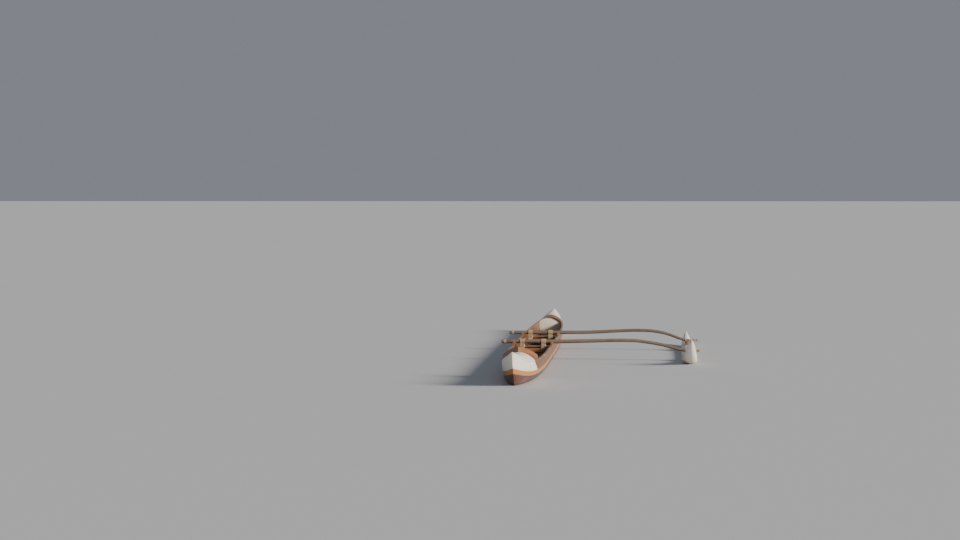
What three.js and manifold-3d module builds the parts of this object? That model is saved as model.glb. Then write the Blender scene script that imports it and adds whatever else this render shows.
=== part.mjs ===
// A six-seat outrigger canoe: a carved hull with washstrakes and decked ends, two bent booms and a float.
// Millimetres, +Z up. The origin is on the waterline amidships, on the hull's centreline.
// The bow points to -Y, and the float lies on the port side, towards +X.
import * as THREE from 'three';
import { mergeVertices } from 'three/addons/utils/BufferGeometryUtils.js';
import Module from 'manifold-3d';

const wasm = await Module();
wasm.setup();

const gap = 0.3; // between pieces that rest on each other
const sideGap = 1; // beside a piece that is fitted between two curved walls

// Hull
const wall = 18; // thickness of the hull and the strakes at the sheer
const floorThickness = 24; // thickness of the hull along the keel
const carvedTo = 5150; // the hollow of the hull reaches this far to each end
const joints = [-1750, 1850]; // the hull, the strakes and the rails are scarfed here, under a seat
const lengths = ['fore', 'middle', 'aft'];
const hullThin = 12; // depth of the hull at the points where it runs out under the end pieces
const hullStations = 44;
// Shares of the height from the keel to the seam, and from the seam to the sheer
const sectionSteps = [0, 0.02, 0.07, 0.15, 0.26, 0.4, 0.54, 0.69, 0.84, 1];
const strakeSteps = [0, 0.25, 0.5, 0.75, 1];

// Decks and end pieces. A deck's camber is its rise over its half breadth.
const deck = { thickness: 14, camber: 0.47, steps: [-1, -0.72, -0.38, 0, 0.38, 0.72, 1] };
const bow = { tip: -6100, piece: -5350, deckEnd: -4300 };
const stern = { tip: 6100, piece: 5450, deckEnd: 4500 };
const bulkhead = { thickness: 15, inset: 25, clear: 2.5 }; // inset: from the open edge of the deck
const guard = { apex: -4760, foot: -4345, depth: 30, apexHeight: 62, footHeight: 44, inset: 6 };

// Rails along the sheer
const rail = { height: 15, outside: 8, inside: 4 };

// Seats and what carries them
const seat = { top: 95, thickness: 18, length: 230 };
const seatPlaces = [-2950, -1750, -550, 650, 1850, 3150];
const riser = { height: 30, depth: 20, from: -3200, to: 3400 };

// Spreaders, to which the booms are lashed
const spreader = { bottom: 122, height: 40, length: 50 };
const cleat = { bottom: 104, height: 76, length: 130, depth: 30, pocket: 18 };

// Booms. Each row: place across the hull, rise over the height at the hull, radius.
const boomSides = 12;
const boomSteps = 44;
const chock = { height: 30, length: 110, width: 34, seat: 8 };
const booms = {
  front: {
    y: -1050,
    line: [
      { x: -420, rise: -3, r: 21 },
      { x: -300, rise: 0, r: 25 },
      { x: 0, rise: 0, r: 26 },
      { x: 300, rise: 0, r: 26 },
      { x: 550, rise: 4, r: 25 },
      { x: 850, rise: 12, r: 24 },
      { x: 1100, rise: 19, r: 23 },
      { x: 1350, rise: 16, r: 22.5 },
      { x: 1550, rise: -8, r: 22 },
      { x: 1720, rise: -39, r: 21 },
      { x: 1860, rise: -76, r: 20 },
      { x: 1960, rise: -101, r: 19 },
      { x: 2080, rise: -118, r: 18 },
      { x: 2210, rise: -114, r: 15 },
    ],
  },
  rear: {
    y: 1200,
    line: [
      { x: -440, rise: -4, r: 21 },
      { x: -300, rise: 0, r: 25 },
      { x: 0, rise: 0, r: 26 },
      { x: 300, rise: 0, r: 26 },
      { x: 550, rise: 2, r: 25 },
      { x: 850, rise: 11, r: 24 },
      { x: 1100, rise: 25, r: 23 },
      { x: 1350, rise: 34, r: 22.5 },
      { x: 1580, rise: 26, r: 22 },
      { x: 1760, rise: -4, r: 21 },
      { x: 1880, rise: -43, r: 20 },
      { x: 1970, rise: -77, r: 19 },
      { x: 2080, rise: -105, r: 18 },
      { x: 2225, rise: -101, r: 15 },
    ],
  },
};

// Lashings. The holes for those of the float lie a given distance above it.
const rope = 8;
const hullLashing = { x: 142, width: 64, waist: 20, frapping: 34, segments: 8 };
const floatLashing = { reach: 95, width: 16, hole: 9, above: 6, slack: 2.5 };

// Float. Each row: place along the float, half breadth, height of its top, height of its bottom.
const floatX = 2080;
const floatSides = 16;
const floatStations = 26;
const floatLines = [
  { y: -2350, half: 9, top: 366, bottom: 352 },
  { y: -2290, half: 27, top: 352, bottom: 300 },
  { y: -2130, half: 53, top: 300, bottom: 190 },
  { y: -1900, half: 75, top: 218, bottom: 74 },
  { y: -1620, half: 90, top: 152, bottom: -12 },
  { y: -1350, half: 97, top: 112, bottom: -58 },
  { y: -1050, half: 101, top: 94, bottom: -82 },
  { y: -500, half: 103, top: 88, bottom: -96 },
  { y: 200, half: 102, top: 87, bottom: -98 },
  { y: 1200, half: 97, top: 91, bottom: -86 },
  { y: 1900, half: 82, top: 108, bottom: -48 },
  { y: 2400, half: 56, top: 144, bottom: 32 },
  { y: 2700, half: 26, top: 180, bottom: 124 },
  { y: 2800, half: 9, top: 192, bottom: 178 },
];
const saddle = { length: 290, width: 34, lip: 2, sink: 40 }; // lip: from its top up to the boom's centre

// Hull lines. Each row: place along the hull, half breadth at the sheer, height of the sheer, height of the
// seam under the strakes, height of the keel, and roundness of the section, where 2 is a full U and 1 is a V.
const hullLines = [
  { y: -6100, half: 12, sheer: 402, seam: 262, keel: 388, round: 1.0 },
  { y: -6020, half: 36, sheer: 380, seam: 244, keel: 316, round: 1.02 },
  { y: -5900, half: 65, sheer: 351, seam: 219, keel: 208, round: 1.08 },
  { y: -5700, half: 101, sheer: 314, seam: 188, keel: 72, round: 1.18 },
  { y: -5500, half: 129, sheer: 287, seam: 165, keel: -28, round: 1.3 },
  { y: -5200, half: 162, sheer: 259, seam: 141, keel: -110, round: 1.48 },
  { y: -4700, half: 198, sheer: 231, seam: 116, keel: -168, round: 1.7 },
  { y: -4000, half: 229, sheer: 214, seam: 99, keel: -205, round: 1.92 },
  { y: -3000, half: 251, sheer: 207, seam: 92, keel: -228, round: 2.05 },
  { y: -1500, half: 258, sheer: 205, seam: 90, keel: -238, round: 2.1 },
  { y: 0, half: 259, sheer: 205, seam: 90, keel: -240, round: 2.1 },
  { y: 1500, half: 257, sheer: 205, seam: 90, keel: -238, round: 2.1 },
  { y: 3000, half: 242, sheer: 208, seam: 93, keel: -226, round: 2.0 },
  { y: 4000, half: 212, sheer: 217, seam: 102, keel: -200, round: 1.85 },
  { y: 4800, half: 170, sheer: 236, seam: 121, keel: -158, round: 1.62 },
  { y: 5300, half: 134, sheer: 261, seam: 143, keel: -100, round: 1.4 },
  { y: 5600, half: 105, sheer: 286, seam: 164, keel: -28, round: 1.26 },
  { y: 5800, half: 79, sheer: 308, seam: 182, keel: 68, round: 1.14 },
  { y: 5950, half: 52, sheer: 329, seam: 199, keel: 178, round: 1.06 },
  { y: 6050, half: 30, sheer: 346, seam: 214, keel: 268, round: 1.02 },
  { y: 6100, half: 12, sheer: 356, seam: 222, keel: 342, round: 1.0 },
];

// Colours
const finishes = {
  hullWood: { color: 0x7a4338, roughness: 0.35, metalness: 0 },
  strakeWood: { color: 0x94704a, roughness: 0.4, metalness: 0 },
  whitePaint: { color: 0xe9e2d6, roughness: 0.4, metalness: 0 },
  varnish: { color: 0x8a5a34, roughness: 0.35, metalness: 0 },
  boomWood: { color: 0x6f5a47, roughness: 0.7, metalness: 0 },
  cordage: { color: 0xc9b48c, roughness: 0.9, metalness: 0 },
};

const sides = [['port', 1], ['starboard', -1]];
const point = (x, y, z) => new THREE.Vector3(x, y, z);

// A row of a table at any place between its rows, on a smooth curve through them.
function rowAt(table, key, place) {
  const last = table.length - 2;
  let i = table.findIndex((row) => row[key] > place) - 1;
  if (i < 0) i = place <= table[0][key] ? 0 : last;
  const [a, b] = [table[i], table[i + 1]];
  const [before, after] = [table[Math.max(i - 1, 0)], table[Math.min(i + 2, last + 1)]];
  const span = b[key] - a[key];
  const t = THREE.MathUtils.clamp((place - a[key]) / span, 0, 1);
  const row = { [key]: place };
  for (const name of Object.keys(a)) {
    if (name === key) continue;
    const into = ((b[name] - before[name]) / (b[key] - before[key])) * span;
    const out = ((after[name] - a[name]) / (after[key] - a[key])) * span;
    row[name] =
      a[name] * (2 * t ** 3 - 3 * t ** 2 + 1) +
      into * (t ** 3 - 2 * t ** 2 + t) +
      b[name] * (3 * t ** 2 - 2 * t ** 3) +
      out * (t ** 3 - t ** 2);
  }
  return row;
}

const lines = (y) => rowAt(hullLines, 'y', y);
const seam = (y) => lines(y).seam;

// Half breadth of a section at height z, for the lines of one station.
function breadth({ half, sheer, keel, round }, z) {
  const share = THREE.MathUtils.clamp((z - keel) / (sheer - keel), 0, 1);
  const full = 1.2 + 1.3 * (round - 1);
  return half * (1 - (1 - share) ** full) ** (1 / round);
}

const outside = (y, z) => breadth(lines(y), z);

function inside(y, z) {
  const line = lines(y);
  return breadth({ ...line, half: line.half - wall, keel: line.keel + floorThickness }, z);
}

// Places between two ends, close together near the ends.
function stations(from, to, count) {
  const places = [];
  for (let i = 0; i <= count; i++) {
    places.push((from + to) / 2 - ((to - from) / 2) * Math.cos((Math.PI * i) / count));
  }
  return places;
}

// The place between two stations at which a height function passes zero.
function crossing(height, from, to) {
  let [low, high] = [from, to];
  for (let i = 0; i < 40; i++) {
    const middle = (low + high) / 2;
    if (Math.sign(height(middle)) === Math.sign(height(low))) low = middle;
    else high = middle;
  }
  return (low + high) / 2;
}

// The triangles of a flat ring of corners, facing along its own normal.
function capOf(ring) {
  const normal = point(0, 0, 0);
  ring.forEach((p, i) => {
    const q = ring[(i + 1) % ring.length];
    normal.add(p.clone().cross(q));
  });
  normal.normalize();
  const across = ring[1].clone().sub(ring[0]).normalize();
  const up = normal.clone().cross(across);
  const flat = ring.map((p) => new THREE.Vector2(p.dot(across), p.dot(up)));
  return THREE.ShapeUtils.triangulateShape(flat, []).map(([a, b, c]) => {
    const turn = flat[b].clone().sub(flat[a]).cross(flat[c].clone().sub(flat[a]));
    return turn > 0 ? [a, b, c] : [a, c, b];
  });
}

// A closed solid through rings that have the same number of corners, with a flat face at each end.
function loft(rings) {
  const corners = rings[0].length;
  const positions = rings.flat();
  const faces = [];
  for (let i = 0; i + 1 < rings.length; i++) {
    for (let k = 0; k < corners; k++) {
      const a = i * corners + k;
      const b = i * corners + ((k + 1) % corners);
      faces.push([a, b, a + corners], [b, b + corners, a + corners]);
    }
  }
  const start = (rings.length - 1) * corners;
  faces.push(...capOf(rings[0]).map(([a, b, c]) => [a, c, b]));
  faces.push(...capOf(rings.at(-1)).map((face) => face.map((k) => k + start)));
  const volume = faces.reduce((sum, [a, b, c]) => {
    return sum + positions[a].dot(positions[b].clone().cross(positions[c]));
  }, 0);
  const index = faces.flatMap(([a, b, c]) => (volume > 0 ? [a, b, c] : [a, c, b]));
  const geometry = new THREE.BufferGeometry().setFromPoints(positions);
  geometry.setIndex(index);
  return geometry;
}

function solidOf(geometry) {
  const bare = geometry.clone();
  bare.deleteAttribute('normal');
  bare.deleteAttribute('uv');
  const merged = mergeVertices(bare, 1e-3);
  return new wasm.Manifold(
    new wasm.Mesh({
      numProp: 3,
      vertProperties: merged.attributes.position.array,
      triVerts: new Uint32Array(merged.index.array),
    }),
  );
}

function geometryOf(solid) {
  const { vertProperties, triVerts } = solid.getMesh();
  const geometry = new THREE.BufferGeometry();
  geometry.setAttribute('position', new THREE.BufferAttribute(vertProperties, 3));
  geometry.setIndex(new THREE.BufferAttribute(triVerts, 1));
  geometry.computeVertexNormals();
  return geometry;
}

function cut(geometry, ...tools) {
  return geometryOf(tools.reduce((solid, tool) => solid.subtract(solidOf(tool)), solidOf(geometry)));
}

function join(...geometries) {
  return geometryOf(geometries.map(solidOf).reduce((a, b) => a.add(b)));
}

function box(low, high) {
  const size = high.clone().sub(low);
  const middle = high.clone().add(low).multiplyScalar(0.5);
  return new THREE.BoxGeometry(size.x, size.y, size.z).translate(middle.x, middle.y, middle.z);
}

const canoe = new THREE.Group();

function add(name, geometry, finish) {
  const mesh = new THREE.Mesh(geometry, new THREE.MeshStandardMaterial(finishes[finish]));
  mesh.name = name;
  canoe.add(mesh);
  return mesh;
}

const depthBelowSeam = (y) => seam(y) - lines(y).keel - hullThin;
const hullEnds = [
  crossing(depthBelowSeam, bow.tip, bow.piece),
  crossing(depthBelowSeam, stern.piece, stern.tip),
];

// The stations of the hull, shared by every piece that follows its lines.
const fittings = [
  ...hullEnds,
  -carvedTo,
  carvedTo,
  bow.piece,
  bow.deckEnd,
  bow.deckEnd - bulkhead.inset,
  bow.deckEnd - bulkhead.inset - bulkhead.thickness,
  riser.from,
  booms.front.y,
  booms.rear.y,
  riser.to,
  ...joints,
  stern.deckEnd,
  stern.deckEnd + bulkhead.inset,
  stern.deckEnd + bulkhead.inset + bulkhead.thickness,
  stern.piece,
];
const near = 30;
const hullPlaces = [
  ...stations(bow.tip, stern.tip, hullStations).filter((y) => fittings.every((k) => Math.abs(k - y) > near)),
  ...fittings,
].sort((a, b) => a - b);

function between(from, to) {
  return [from, ...hullPlaces.filter((y) => y > from + 2 && y < to - 2), to];
}

// The stations of each of the three lengths between two ends, with a gap at the joints.
function inLengths(from, to) {
  const ends = [from, ...joints, to];
  return lengths.map((length, i) => {
    const places = between(ends[i] + (i > 0 ? gap / 2 : 0), ends[i + 1] - (i < 2 ? gap / 2 : 0));
    return [length, places];
  });
}

// The carved hull, from the keel up to the seam under the strakes.
function makeHull() {
  const ringAt = (y, halfAt, bottom, top) => {
    const side = sectionSteps.slice(1).map((share) => {
      const z = bottom + (top - bottom) * share;
      return [Math.max(halfAt(y, z), 2), z];
    });
    return [
      ...side.toReversed().map(([x, z]) => point(-x, y, z)),
      point(0, y, bottom),
      ...side.map(([x, z]) => point(x, y, z)),
    ];
  };
  const clear = 60; // the carving tool stands this far above the seam
  const hollow = between(-carvedTo, carvedTo).map((y) => {
    const ring = ringAt(y, inside, lines(y).keel + floorThickness, seam(y));
    const top = [ring[0].clone().setZ(seam(y) + clear), ring.at(-1).clone().setZ(seam(y) + clear)];
    return [top[0], ...ring, top[1]];
  });
  for (const [length, places] of inLengths(...hullEnds)) {
    const outer = loft(places.map((y) => ringAt(y, outside, lines(y).keel, seam(y))));
    add(`hull_${length}`, cut(outer, loft(hollow)), 'hullWood');
  }
}

// A plank that raises one side of the hull from the seam to the sheer.
function sidePlank(places, side) {
  return loft(places.map((y) => {
    const base = seam(y) + gap;
    const heights = strakeSteps.map((share) => base + (lines(y).sheer - base) * share);
    return [
      ...heights.map((z) => point(side * outside(y, z), y, z)),
      ...heights.toReversed().map((z) => point(side * inside(y, z), y, z)),
    ];
  }));
}

// The strakes between the decks, and the cheeks that carry the end pieces on under the decks.
function makeSidePlanks() {
  for (const [name, side] of sides) {
    for (const [length, places] of inLengths(bow.deckEnd + gap, stern.deckEnd - gap)) {
      add(`strake_${name}_${length}`, sidePlank(places, side), 'strakeWood');
    }
    add(`bow_cheek_${name}`, sidePlank(between(bow.piece + gap, bow.deckEnd), side), 'whitePaint');
    add(`stern_cheek_${name}`, sidePlank(between(stern.deckEnd, stern.piece - gap), side), 'whitePaint');
  }
}

// The arched underside of a deck: its points from starboard to port, lifted by an allowance.
function deckLine(y, lift) {
  const { half, sheer } = lines(y);
  return deck.steps.map((share) => {
    return point(share * half, y, sheer + gap + lift + deck.camber * half * (1 - share ** 2));
  });
}

// The solid end pieces, from the deck out to the upswept tip.
function makeEndPiece(name, from, to) {
  const places = between(from, to);
  const thinnest = 3;
  const rings = places.map((y) => {
    const { sheer, keel } = lines(y);
    const base = Math.max(seam(y) + gap, keel);
    const side = [0, 0.3, 0.65, 1].map((share) => {
      const z = base + (sheer - base) * share;
      return [Math.max(outside(y, z), thinnest), z];
    });
    return [
      ...side.map(([x, z]) => point(x, y, z)),
      ...deckLine(y, deck.thickness).toReversed(),
      ...side.toReversed().map(([x, z]) => point(-x, y, z)),
    ];
  });
  add(name, loft(rings), 'whitePaint');
}

// The ridged decks between an end piece and the open hull.
function makeDeck(name, from, to) {
  const rings = between(from, to).map((y) => {
    return [...deckLine(y, 0), ...deckLine(y, deck.thickness).toReversed()];
  });
  add(name, loft(rings), 'whitePaint');
}

// The bulkheads that close the space under each deck.
function makeBulkhead(name, from) {
  const rings = [from, from + bulkhead.thickness].map((y) => {
    const { sheer, keel } = lines(y);
    const bottom = keel + floorThickness + sideGap;
    const side = [0.03, 0.1, 0.22, 0.4, 0.65, 1].map((share) => {
      const z = bottom + (sheer - gap - bottom) * share;
      return [inside(y, z) - bulkhead.clear, z];
    });
    return [
      ...side.toReversed().map(([x, z]) => point(-x, y, z)),
      point(0, y, bottom + sideGap),
      ...side.map(([x, z]) => point(x, y, z)),
      ...deckLine(y, -2 * sideGap).slice(1, -1).toReversed(),
    ];
  });
  add(name, loft(rings), 'whitePaint');
}

// The V-shaped splash guard that stands on the bow deck.
function makeSplashGuard() {
  const sink = 40; // the blank reaches this far into the deck before it is scribed to it
  const roof = (x, y) => {
    const { half, sheer } = lines(y);
    return sheer + deck.thickness + deck.camber * half * (1 - (x / half) ** 2);
  };
  const reach = lines(guard.foot).half - guard.inset;
  const rings = [-1, -0.75, -0.5, -0.25, 0, 0.25, 0.5, 0.75, 1].map((share) => {
    const x = share * reach;
    const front = guard.apex + (guard.foot - guard.apex) * Math.abs(share);
    const back = front + guard.depth;
    const height = guard.apexHeight + (guard.footHeight - guard.apexHeight) * Math.abs(share);
    const rake = -0.25 * height;
    const base = roof(x, front);
    return [
      point(x, back, base - sink),
      point(x, front, base - sink),
      point(x, front + rake, base + height),
      point(x, back + rake, base + height),
    ];
  });
  const bed = between(bow.piece, bow.deckEnd).map((y) => {
    return [...deckLine(y, -2 * sink), ...deckLine(y, deck.thickness + gap).toReversed()];
  });
  add('splash_guard', cut(loft(rings), loft(bed)), 'varnish');
}

const railTop = (y) => lines(y).sheer + gap + rail.height;

// The rails that cap the strakes between the decks.
function makeRails() {
  for (const [name, side] of sides) {
    for (const [length, places] of inLengths(bow.deckEnd + gap, stern.deckEnd - gap)) {
      const rings = places.map((y) => {
        const { half, sheer } = lines(y);
        const [x0, x1] = [half - wall - rail.inside, half + rail.outside];
        return [
          point(side * x0, y, sheer + gap),
          point(side * x1, y, sheer + gap),
          point(side * x1, y, railTop(y)),
          point(side * x0, y, railTop(y)),
        ];
      });
      add(`rail_${name}_${length}`, loft(rings), 'varnish');
    }
  }
}

// The battens inside the strakes that carry the seats.
function makeRisers() {
  const places = between(riser.from, riser.to);
  const top = seat.top - seat.thickness - gap;
  for (const [name, side] of sides) {
    const rings = places.map((y) => {
      const corner = (z) => inside(y, z) - sideGap;
      return [
        point(side * corner(top - riser.height), y, top - riser.height),
        point(side * corner(top), y, top),
        point(side * (corner(top) - riser.depth), y, top),
        point(side * (corner(top) - riser.depth), y, top - riser.height),
      ];
    });
    add(`seat_riser_${name}`, loft(rings), 'varnish');
  }
}

// The plank seats.
function makeSeats() {
  seatPlaces.forEach((middle, i) => {
    const bottom = seat.top - seat.thickness;
    const rings = [-0.5, 0, 0.5].map((share) => {
      const y = middle + share * seat.length;
      const half = inside(y, bottom) - 2 * sideGap;
      return [
        point(-half, y, bottom),
        point(half, y, bottom),
        point(half, y, seat.top),
        point(-half, y, seat.top),
      ];
    });
    add(`seat_${i + 1}`, loft(rings), 'varnish');
  });
}

const boomHeight = ({ y }) => railTop(y) + gap + chock.seat + boomAt(booms.front, 0).r;

// The centreline and radius of a boom at a place across the hull.
function boomAt({ line }, x) {
  return rowAt(line, 'x', x);
}

// A boom's solid, swollen by a clearance where it is used to cut what holds it.
function boomSolid(boom, swell = 0) {
  const bed = boomHeight(boom);
  const [first, last] = [boom.line[0].x, boom.line.at(-1).x];
  const rings = [];
  for (let i = 0; i <= boomSteps; i++) {
    const x = first + ((last - first) * i) / boomSteps;
    const here = boomAt(boom, x);
    const step = 1;
    const [before, after] = [Math.max(x - step, first), Math.min(x + step, last)];
    const tilt = Math.atan2(boomAt(boom, after).rise - boomAt(boom, before).rise, after - before);
    const ring = [];
    for (let k = 0; k < boomSides; k++) {
      const angle = (2 * Math.PI * k) / boomSides;
      const up = (here.r + swell) * Math.sin(angle);
      const along = (here.r + swell) * Math.cos(angle);
      ring.push(point(x - up * Math.sin(tilt), boom.y + along, bed + here.rise + up * Math.cos(tilt)));
    }
    rings.push(ring);
  }
  return loft(rings);
}

// A spreader across the hull under each boom, with a cleat on each strake that holds its end.
function makeSpreader(name, boom) {
  const { y } = boom;
  const top = spreader.bottom + spreader.height;
  const wallAt = Math.min(
    ...[-0.5, 0.5].flatMap((share) => [cleat.bottom, cleat.bottom + cleat.height].map((z) => {
      return inside(y + share * cleat.length, z);
    })),
  );
  const face = wallAt - sideGap;
  const reach = face - cleat.depth + cleat.pocket;
  const bar = (extra) => box(
    point(-reach - extra, y - spreader.length / 2 - extra, spreader.bottom - extra),
    point(reach + extra, y + spreader.length / 2 + extra, top + extra),
  );
  add(`spreader_${name}`, bar(0), 'varnish');
  for (const [sideName, side] of sides) {
    const [x0, x1] = [side * face, side * (face - cleat.depth)].sort((a, b) => a - b);
    const block = box(
      point(x0, y - cleat.length / 2, cleat.bottom),
      point(x1, y + cleat.length / 2, cleat.bottom + cleat.height),
    );
    add(`spreader_cleat_${name}_${sideName}`, cut(block, bar(gap)), 'varnish');
  }
}

// The chocks that seat each boom on the rails.
function makeChocks(name, boom) {
  const { y } = boom;
  const middle = lines(y).half - (wall + rail.inside - rail.outside) / 2;
  const base = railTop(y) + gap;
  for (const [sideName, side] of sides) {
    const block = box(
      point(side * middle - chock.width / 2, y - chock.length / 2, base),
      point(side * middle + chock.width / 2, y + chock.length / 2, base + chock.height),
    );
    add(`boom_chock_${name}_${sideName}`, cut(block, boomSolid(boom, gap)), 'varnish');
  }
}

// A lashing round boom and spreader: turns round both, drawn in at the waist by more turns.
function makeHullLashings(name, boom) {
  const bed = boomHeight(boom);
  const { r } = boomAt(boom, hullLashing.x);
  const bore = (r + 3 * gap) / Math.cos(Math.PI / (2 * hullLashing.segments));
  const ring = bore + rope;
  const top = spreader.bottom + spreader.height;
  const waist = (top + bed - r) / 2;
  const foot = spreader.length / 2 + gap + rope;
  const outline = new THREE.Shape();
  outline.absarc(0, bed, ring, -0.25 * Math.PI, 1.25 * Math.PI, false);
  outline.lineTo(-hullLashing.waist, waist);
  outline.lineTo(-foot, top);
  outline.lineTo(-foot, spreader.bottom - gap - rope);
  outline.lineTo(foot, spreader.bottom - gap - rope);
  outline.lineTo(foot, top);
  outline.lineTo(hullLashing.waist, waist);
  const round = new THREE.Path();
  round.absarc(0, bed, bore, 0, 2 * Math.PI, true);
  const square = new THREE.Path();
  const half = spreader.length / 2 + gap;
  square.moveTo(-half, spreader.bottom - gap);
  square.lineTo(-half, top + gap);
  square.lineTo(half, top + gap);
  square.lineTo(half, spreader.bottom - gap);
  outline.holes.push(round, square);
  const turns = new THREE.ExtrudeGeometry(outline, {
    depth: hullLashing.width,
    bevelEnabled: false,
    curveSegments: hullLashing.segments,
  });
  turns.translate(0, 0, -hullLashing.width / 2);
  const band = new THREE.CylinderGeometry(1, 1, hullLashing.frapping, 14);
  band.scale(hullLashing.waist + rope, 1, hullLashing.width / 2 + rope);
  band.translate(0, waist, 0);
  for (const [sideName, side] of sides) {
    const whole = join(turns, band);
    whole.rotateY(Math.PI / 2).rotateX(Math.PI / 2);
    whole.translate(side * hullLashing.x, boom.y, 0);
    add(`hull_lashing_${name}_${sideName}`, whole, 'cordage');
  }
}

function floatSolid(lift = 0) {
  const places = stations(floatLines[0].y, floatLines.at(-1).y, floatStations);
  const rings = places.map((y) => {
    const { half, top, bottom } = rowAt(floatLines, 'y', y);
    const ring = [];
    for (let k = 0; k < floatSides; k++) {
      const angle = (2 * Math.PI * (k + 0.5)) / floatSides;
      const z = (top + bottom) / 2 + ((top - bottom) / 2) * Math.sin(angle);
      ring.push(point(floatX + half * Math.cos(angle), y, z + lift));
    }
    return ring;
  });
  return loft(rings);
}

// A saddle on the float with a notch for the boom's end, and the lashing through its two holes.
function makeFloatJoint(name, boom) {
  const end = boomAt(boom, floatX);
  const height = boomHeight(boom) + end.rise;
  const { top } = rowAt(floatLines, 'y', boom.y);
  const crown = Math.max(
    ...[-1, 1].map((side) => rowAt(floatLines, 'y', boom.y + side * floatLashing.reach).top),
  );
  const eye = crown + floatLashing.above + floatLashing.hole;
  const block = box(
    point(floatX - saddle.width / 2, boom.y - saddle.length / 2, top - saddle.sink),
    point(floatX + saddle.width / 2, boom.y + saddle.length / 2, height - saddle.lip),
  );
  const hole = (side, radius, length) => {
    const pin = new THREE.CylinderGeometry(radius, radius, length, 12).rotateZ(Math.PI / 2);
    return pin.translate(floatX, boom.y + side * floatLashing.reach, eye);
  };
  const eyes = [-1, 1].map((side) => hole(side, floatLashing.hole, 2 * saddle.width));
  add(`float_saddle_${name}`, cut(block, floatSolid(gap), boomSolid(boom, gap), ...eyes), 'varnish');

  const strapEdge = saddle.width / 2 + floatLashing.width;
  const strapEdges = [-1, 1].map((side) => boomAt(boom, floatX + side * strapEdge));
  const over = Math.max(...strapEdges.map(({ rise, r }) => rise - end.rise + r)) + floatLashing.slack;
  const arch = new THREE.Shape();
  const shoulder = 0.3 * Math.PI;
  arch.moveTo(floatLashing.reach + rope, eye - rope);
  arch.lineTo(floatLashing.reach + rope, eye + rope);
  arch.absarc(0, height, over + rope, Math.PI / 2 - shoulder, Math.PI / 2 + shoulder, false);
  arch.lineTo(-floatLashing.reach - rope, eye + rope);
  arch.lineTo(-floatLashing.reach - rope, eye - rope);
  arch.lineTo(-floatLashing.reach + rope, eye - rope);
  arch.absarc(0, height, over, Math.PI / 2 + shoulder, Math.PI / 2 - shoulder, true);
  arch.lineTo(floatLashing.reach - rope, eye - rope);
  const strap = new THREE.ExtrudeGeometry(arch, {
    depth: floatLashing.width,
    bevelEnabled: false,
    curveSegments: 8,
  });
  strap.rotateY(Math.PI / 2).rotateX(Math.PI / 2);
  const straps = [-1, 1].map((side) => {
    const start = side > 0 ? saddle.width / 2 + gap : -saddle.width / 2 - gap - floatLashing.width;
    return strap.clone().translate(floatX + start, boom.y, 0);
  });
  const pins = [-1, 1].map((side) => hole(side, rope - gap, saddle.width + 2 * floatLashing.width));
  add(`float_lashing_${name}`, join(...straps, ...pins), 'cordage');
}

makeHull();
makeSidePlanks();
makeEndPiece('bow_end_piece', bow.tip, bow.piece);
makeEndPiece('stern_end_piece', stern.piece, stern.tip);
makeDeck('bow_deck', bow.piece + gap, bow.deckEnd);
makeDeck('stern_deck', stern.deckEnd, stern.piece - gap);
makeBulkhead('bow_bulkhead', bow.deckEnd - bulkhead.inset - bulkhead.thickness);
makeBulkhead('stern_bulkhead', stern.deckEnd + bulkhead.inset);
makeSplashGuard();
makeRails();
makeRisers();
makeSeats();
add('float', floatSolid(), 'whitePaint');
for (const [name, boom] of Object.entries(booms)) {
  add(`boom_${name}`, boomSolid(boom), 'boomWood');
  makeSpreader(name, boom);
  makeChocks(name, boom);
  makeHullLashings(name, boom);
  makeFloatJoint(name, boom);
}

export default canoe;
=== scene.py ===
# Six-seat outrigger canoe, afloat. Metres: bow to -Y, float at +X, waterline at Z 0.
import bpy
import bmesh
import math
import random
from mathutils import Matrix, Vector


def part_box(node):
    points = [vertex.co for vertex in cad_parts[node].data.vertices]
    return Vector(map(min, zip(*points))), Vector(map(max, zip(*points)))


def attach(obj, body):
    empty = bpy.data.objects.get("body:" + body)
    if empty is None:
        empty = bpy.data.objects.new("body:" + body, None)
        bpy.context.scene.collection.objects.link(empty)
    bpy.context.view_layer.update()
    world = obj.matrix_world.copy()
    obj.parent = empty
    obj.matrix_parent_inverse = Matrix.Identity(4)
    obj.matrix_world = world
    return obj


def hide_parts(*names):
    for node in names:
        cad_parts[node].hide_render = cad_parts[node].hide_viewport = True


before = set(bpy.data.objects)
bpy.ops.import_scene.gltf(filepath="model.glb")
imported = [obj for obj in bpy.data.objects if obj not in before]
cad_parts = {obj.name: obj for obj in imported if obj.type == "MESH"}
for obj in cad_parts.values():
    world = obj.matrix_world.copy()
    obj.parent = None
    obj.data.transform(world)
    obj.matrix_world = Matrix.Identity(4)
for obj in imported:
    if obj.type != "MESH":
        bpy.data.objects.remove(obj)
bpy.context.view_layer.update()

print("frame loaded,", len(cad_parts), "nodes")

mm = 0.001

shoreView = {
    "lens": 95.625,
    "place": (1.6, -34.94, 2.20),
    "tilt": 88.321,  # degrees, 90 looks level
    "turn": 3.895,
}
lens = bpy.data.cameras.new("shoreView")
lens.lens = shoreView["lens"]
lens.sensor_width = 36
lens.clip_start = 0.1
lens.clip_end = 3000
camera = bpy.data.objects.new("shoreView", lens)
camera.location = shoreView["place"]
camera.rotation_euler = (math.radians(shoreView["tilt"]), 0, math.radians(shoreView["turn"]))
bpy.context.scene.collection.objects.link(camera)
bpy.context.scene.camera = camera


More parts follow.
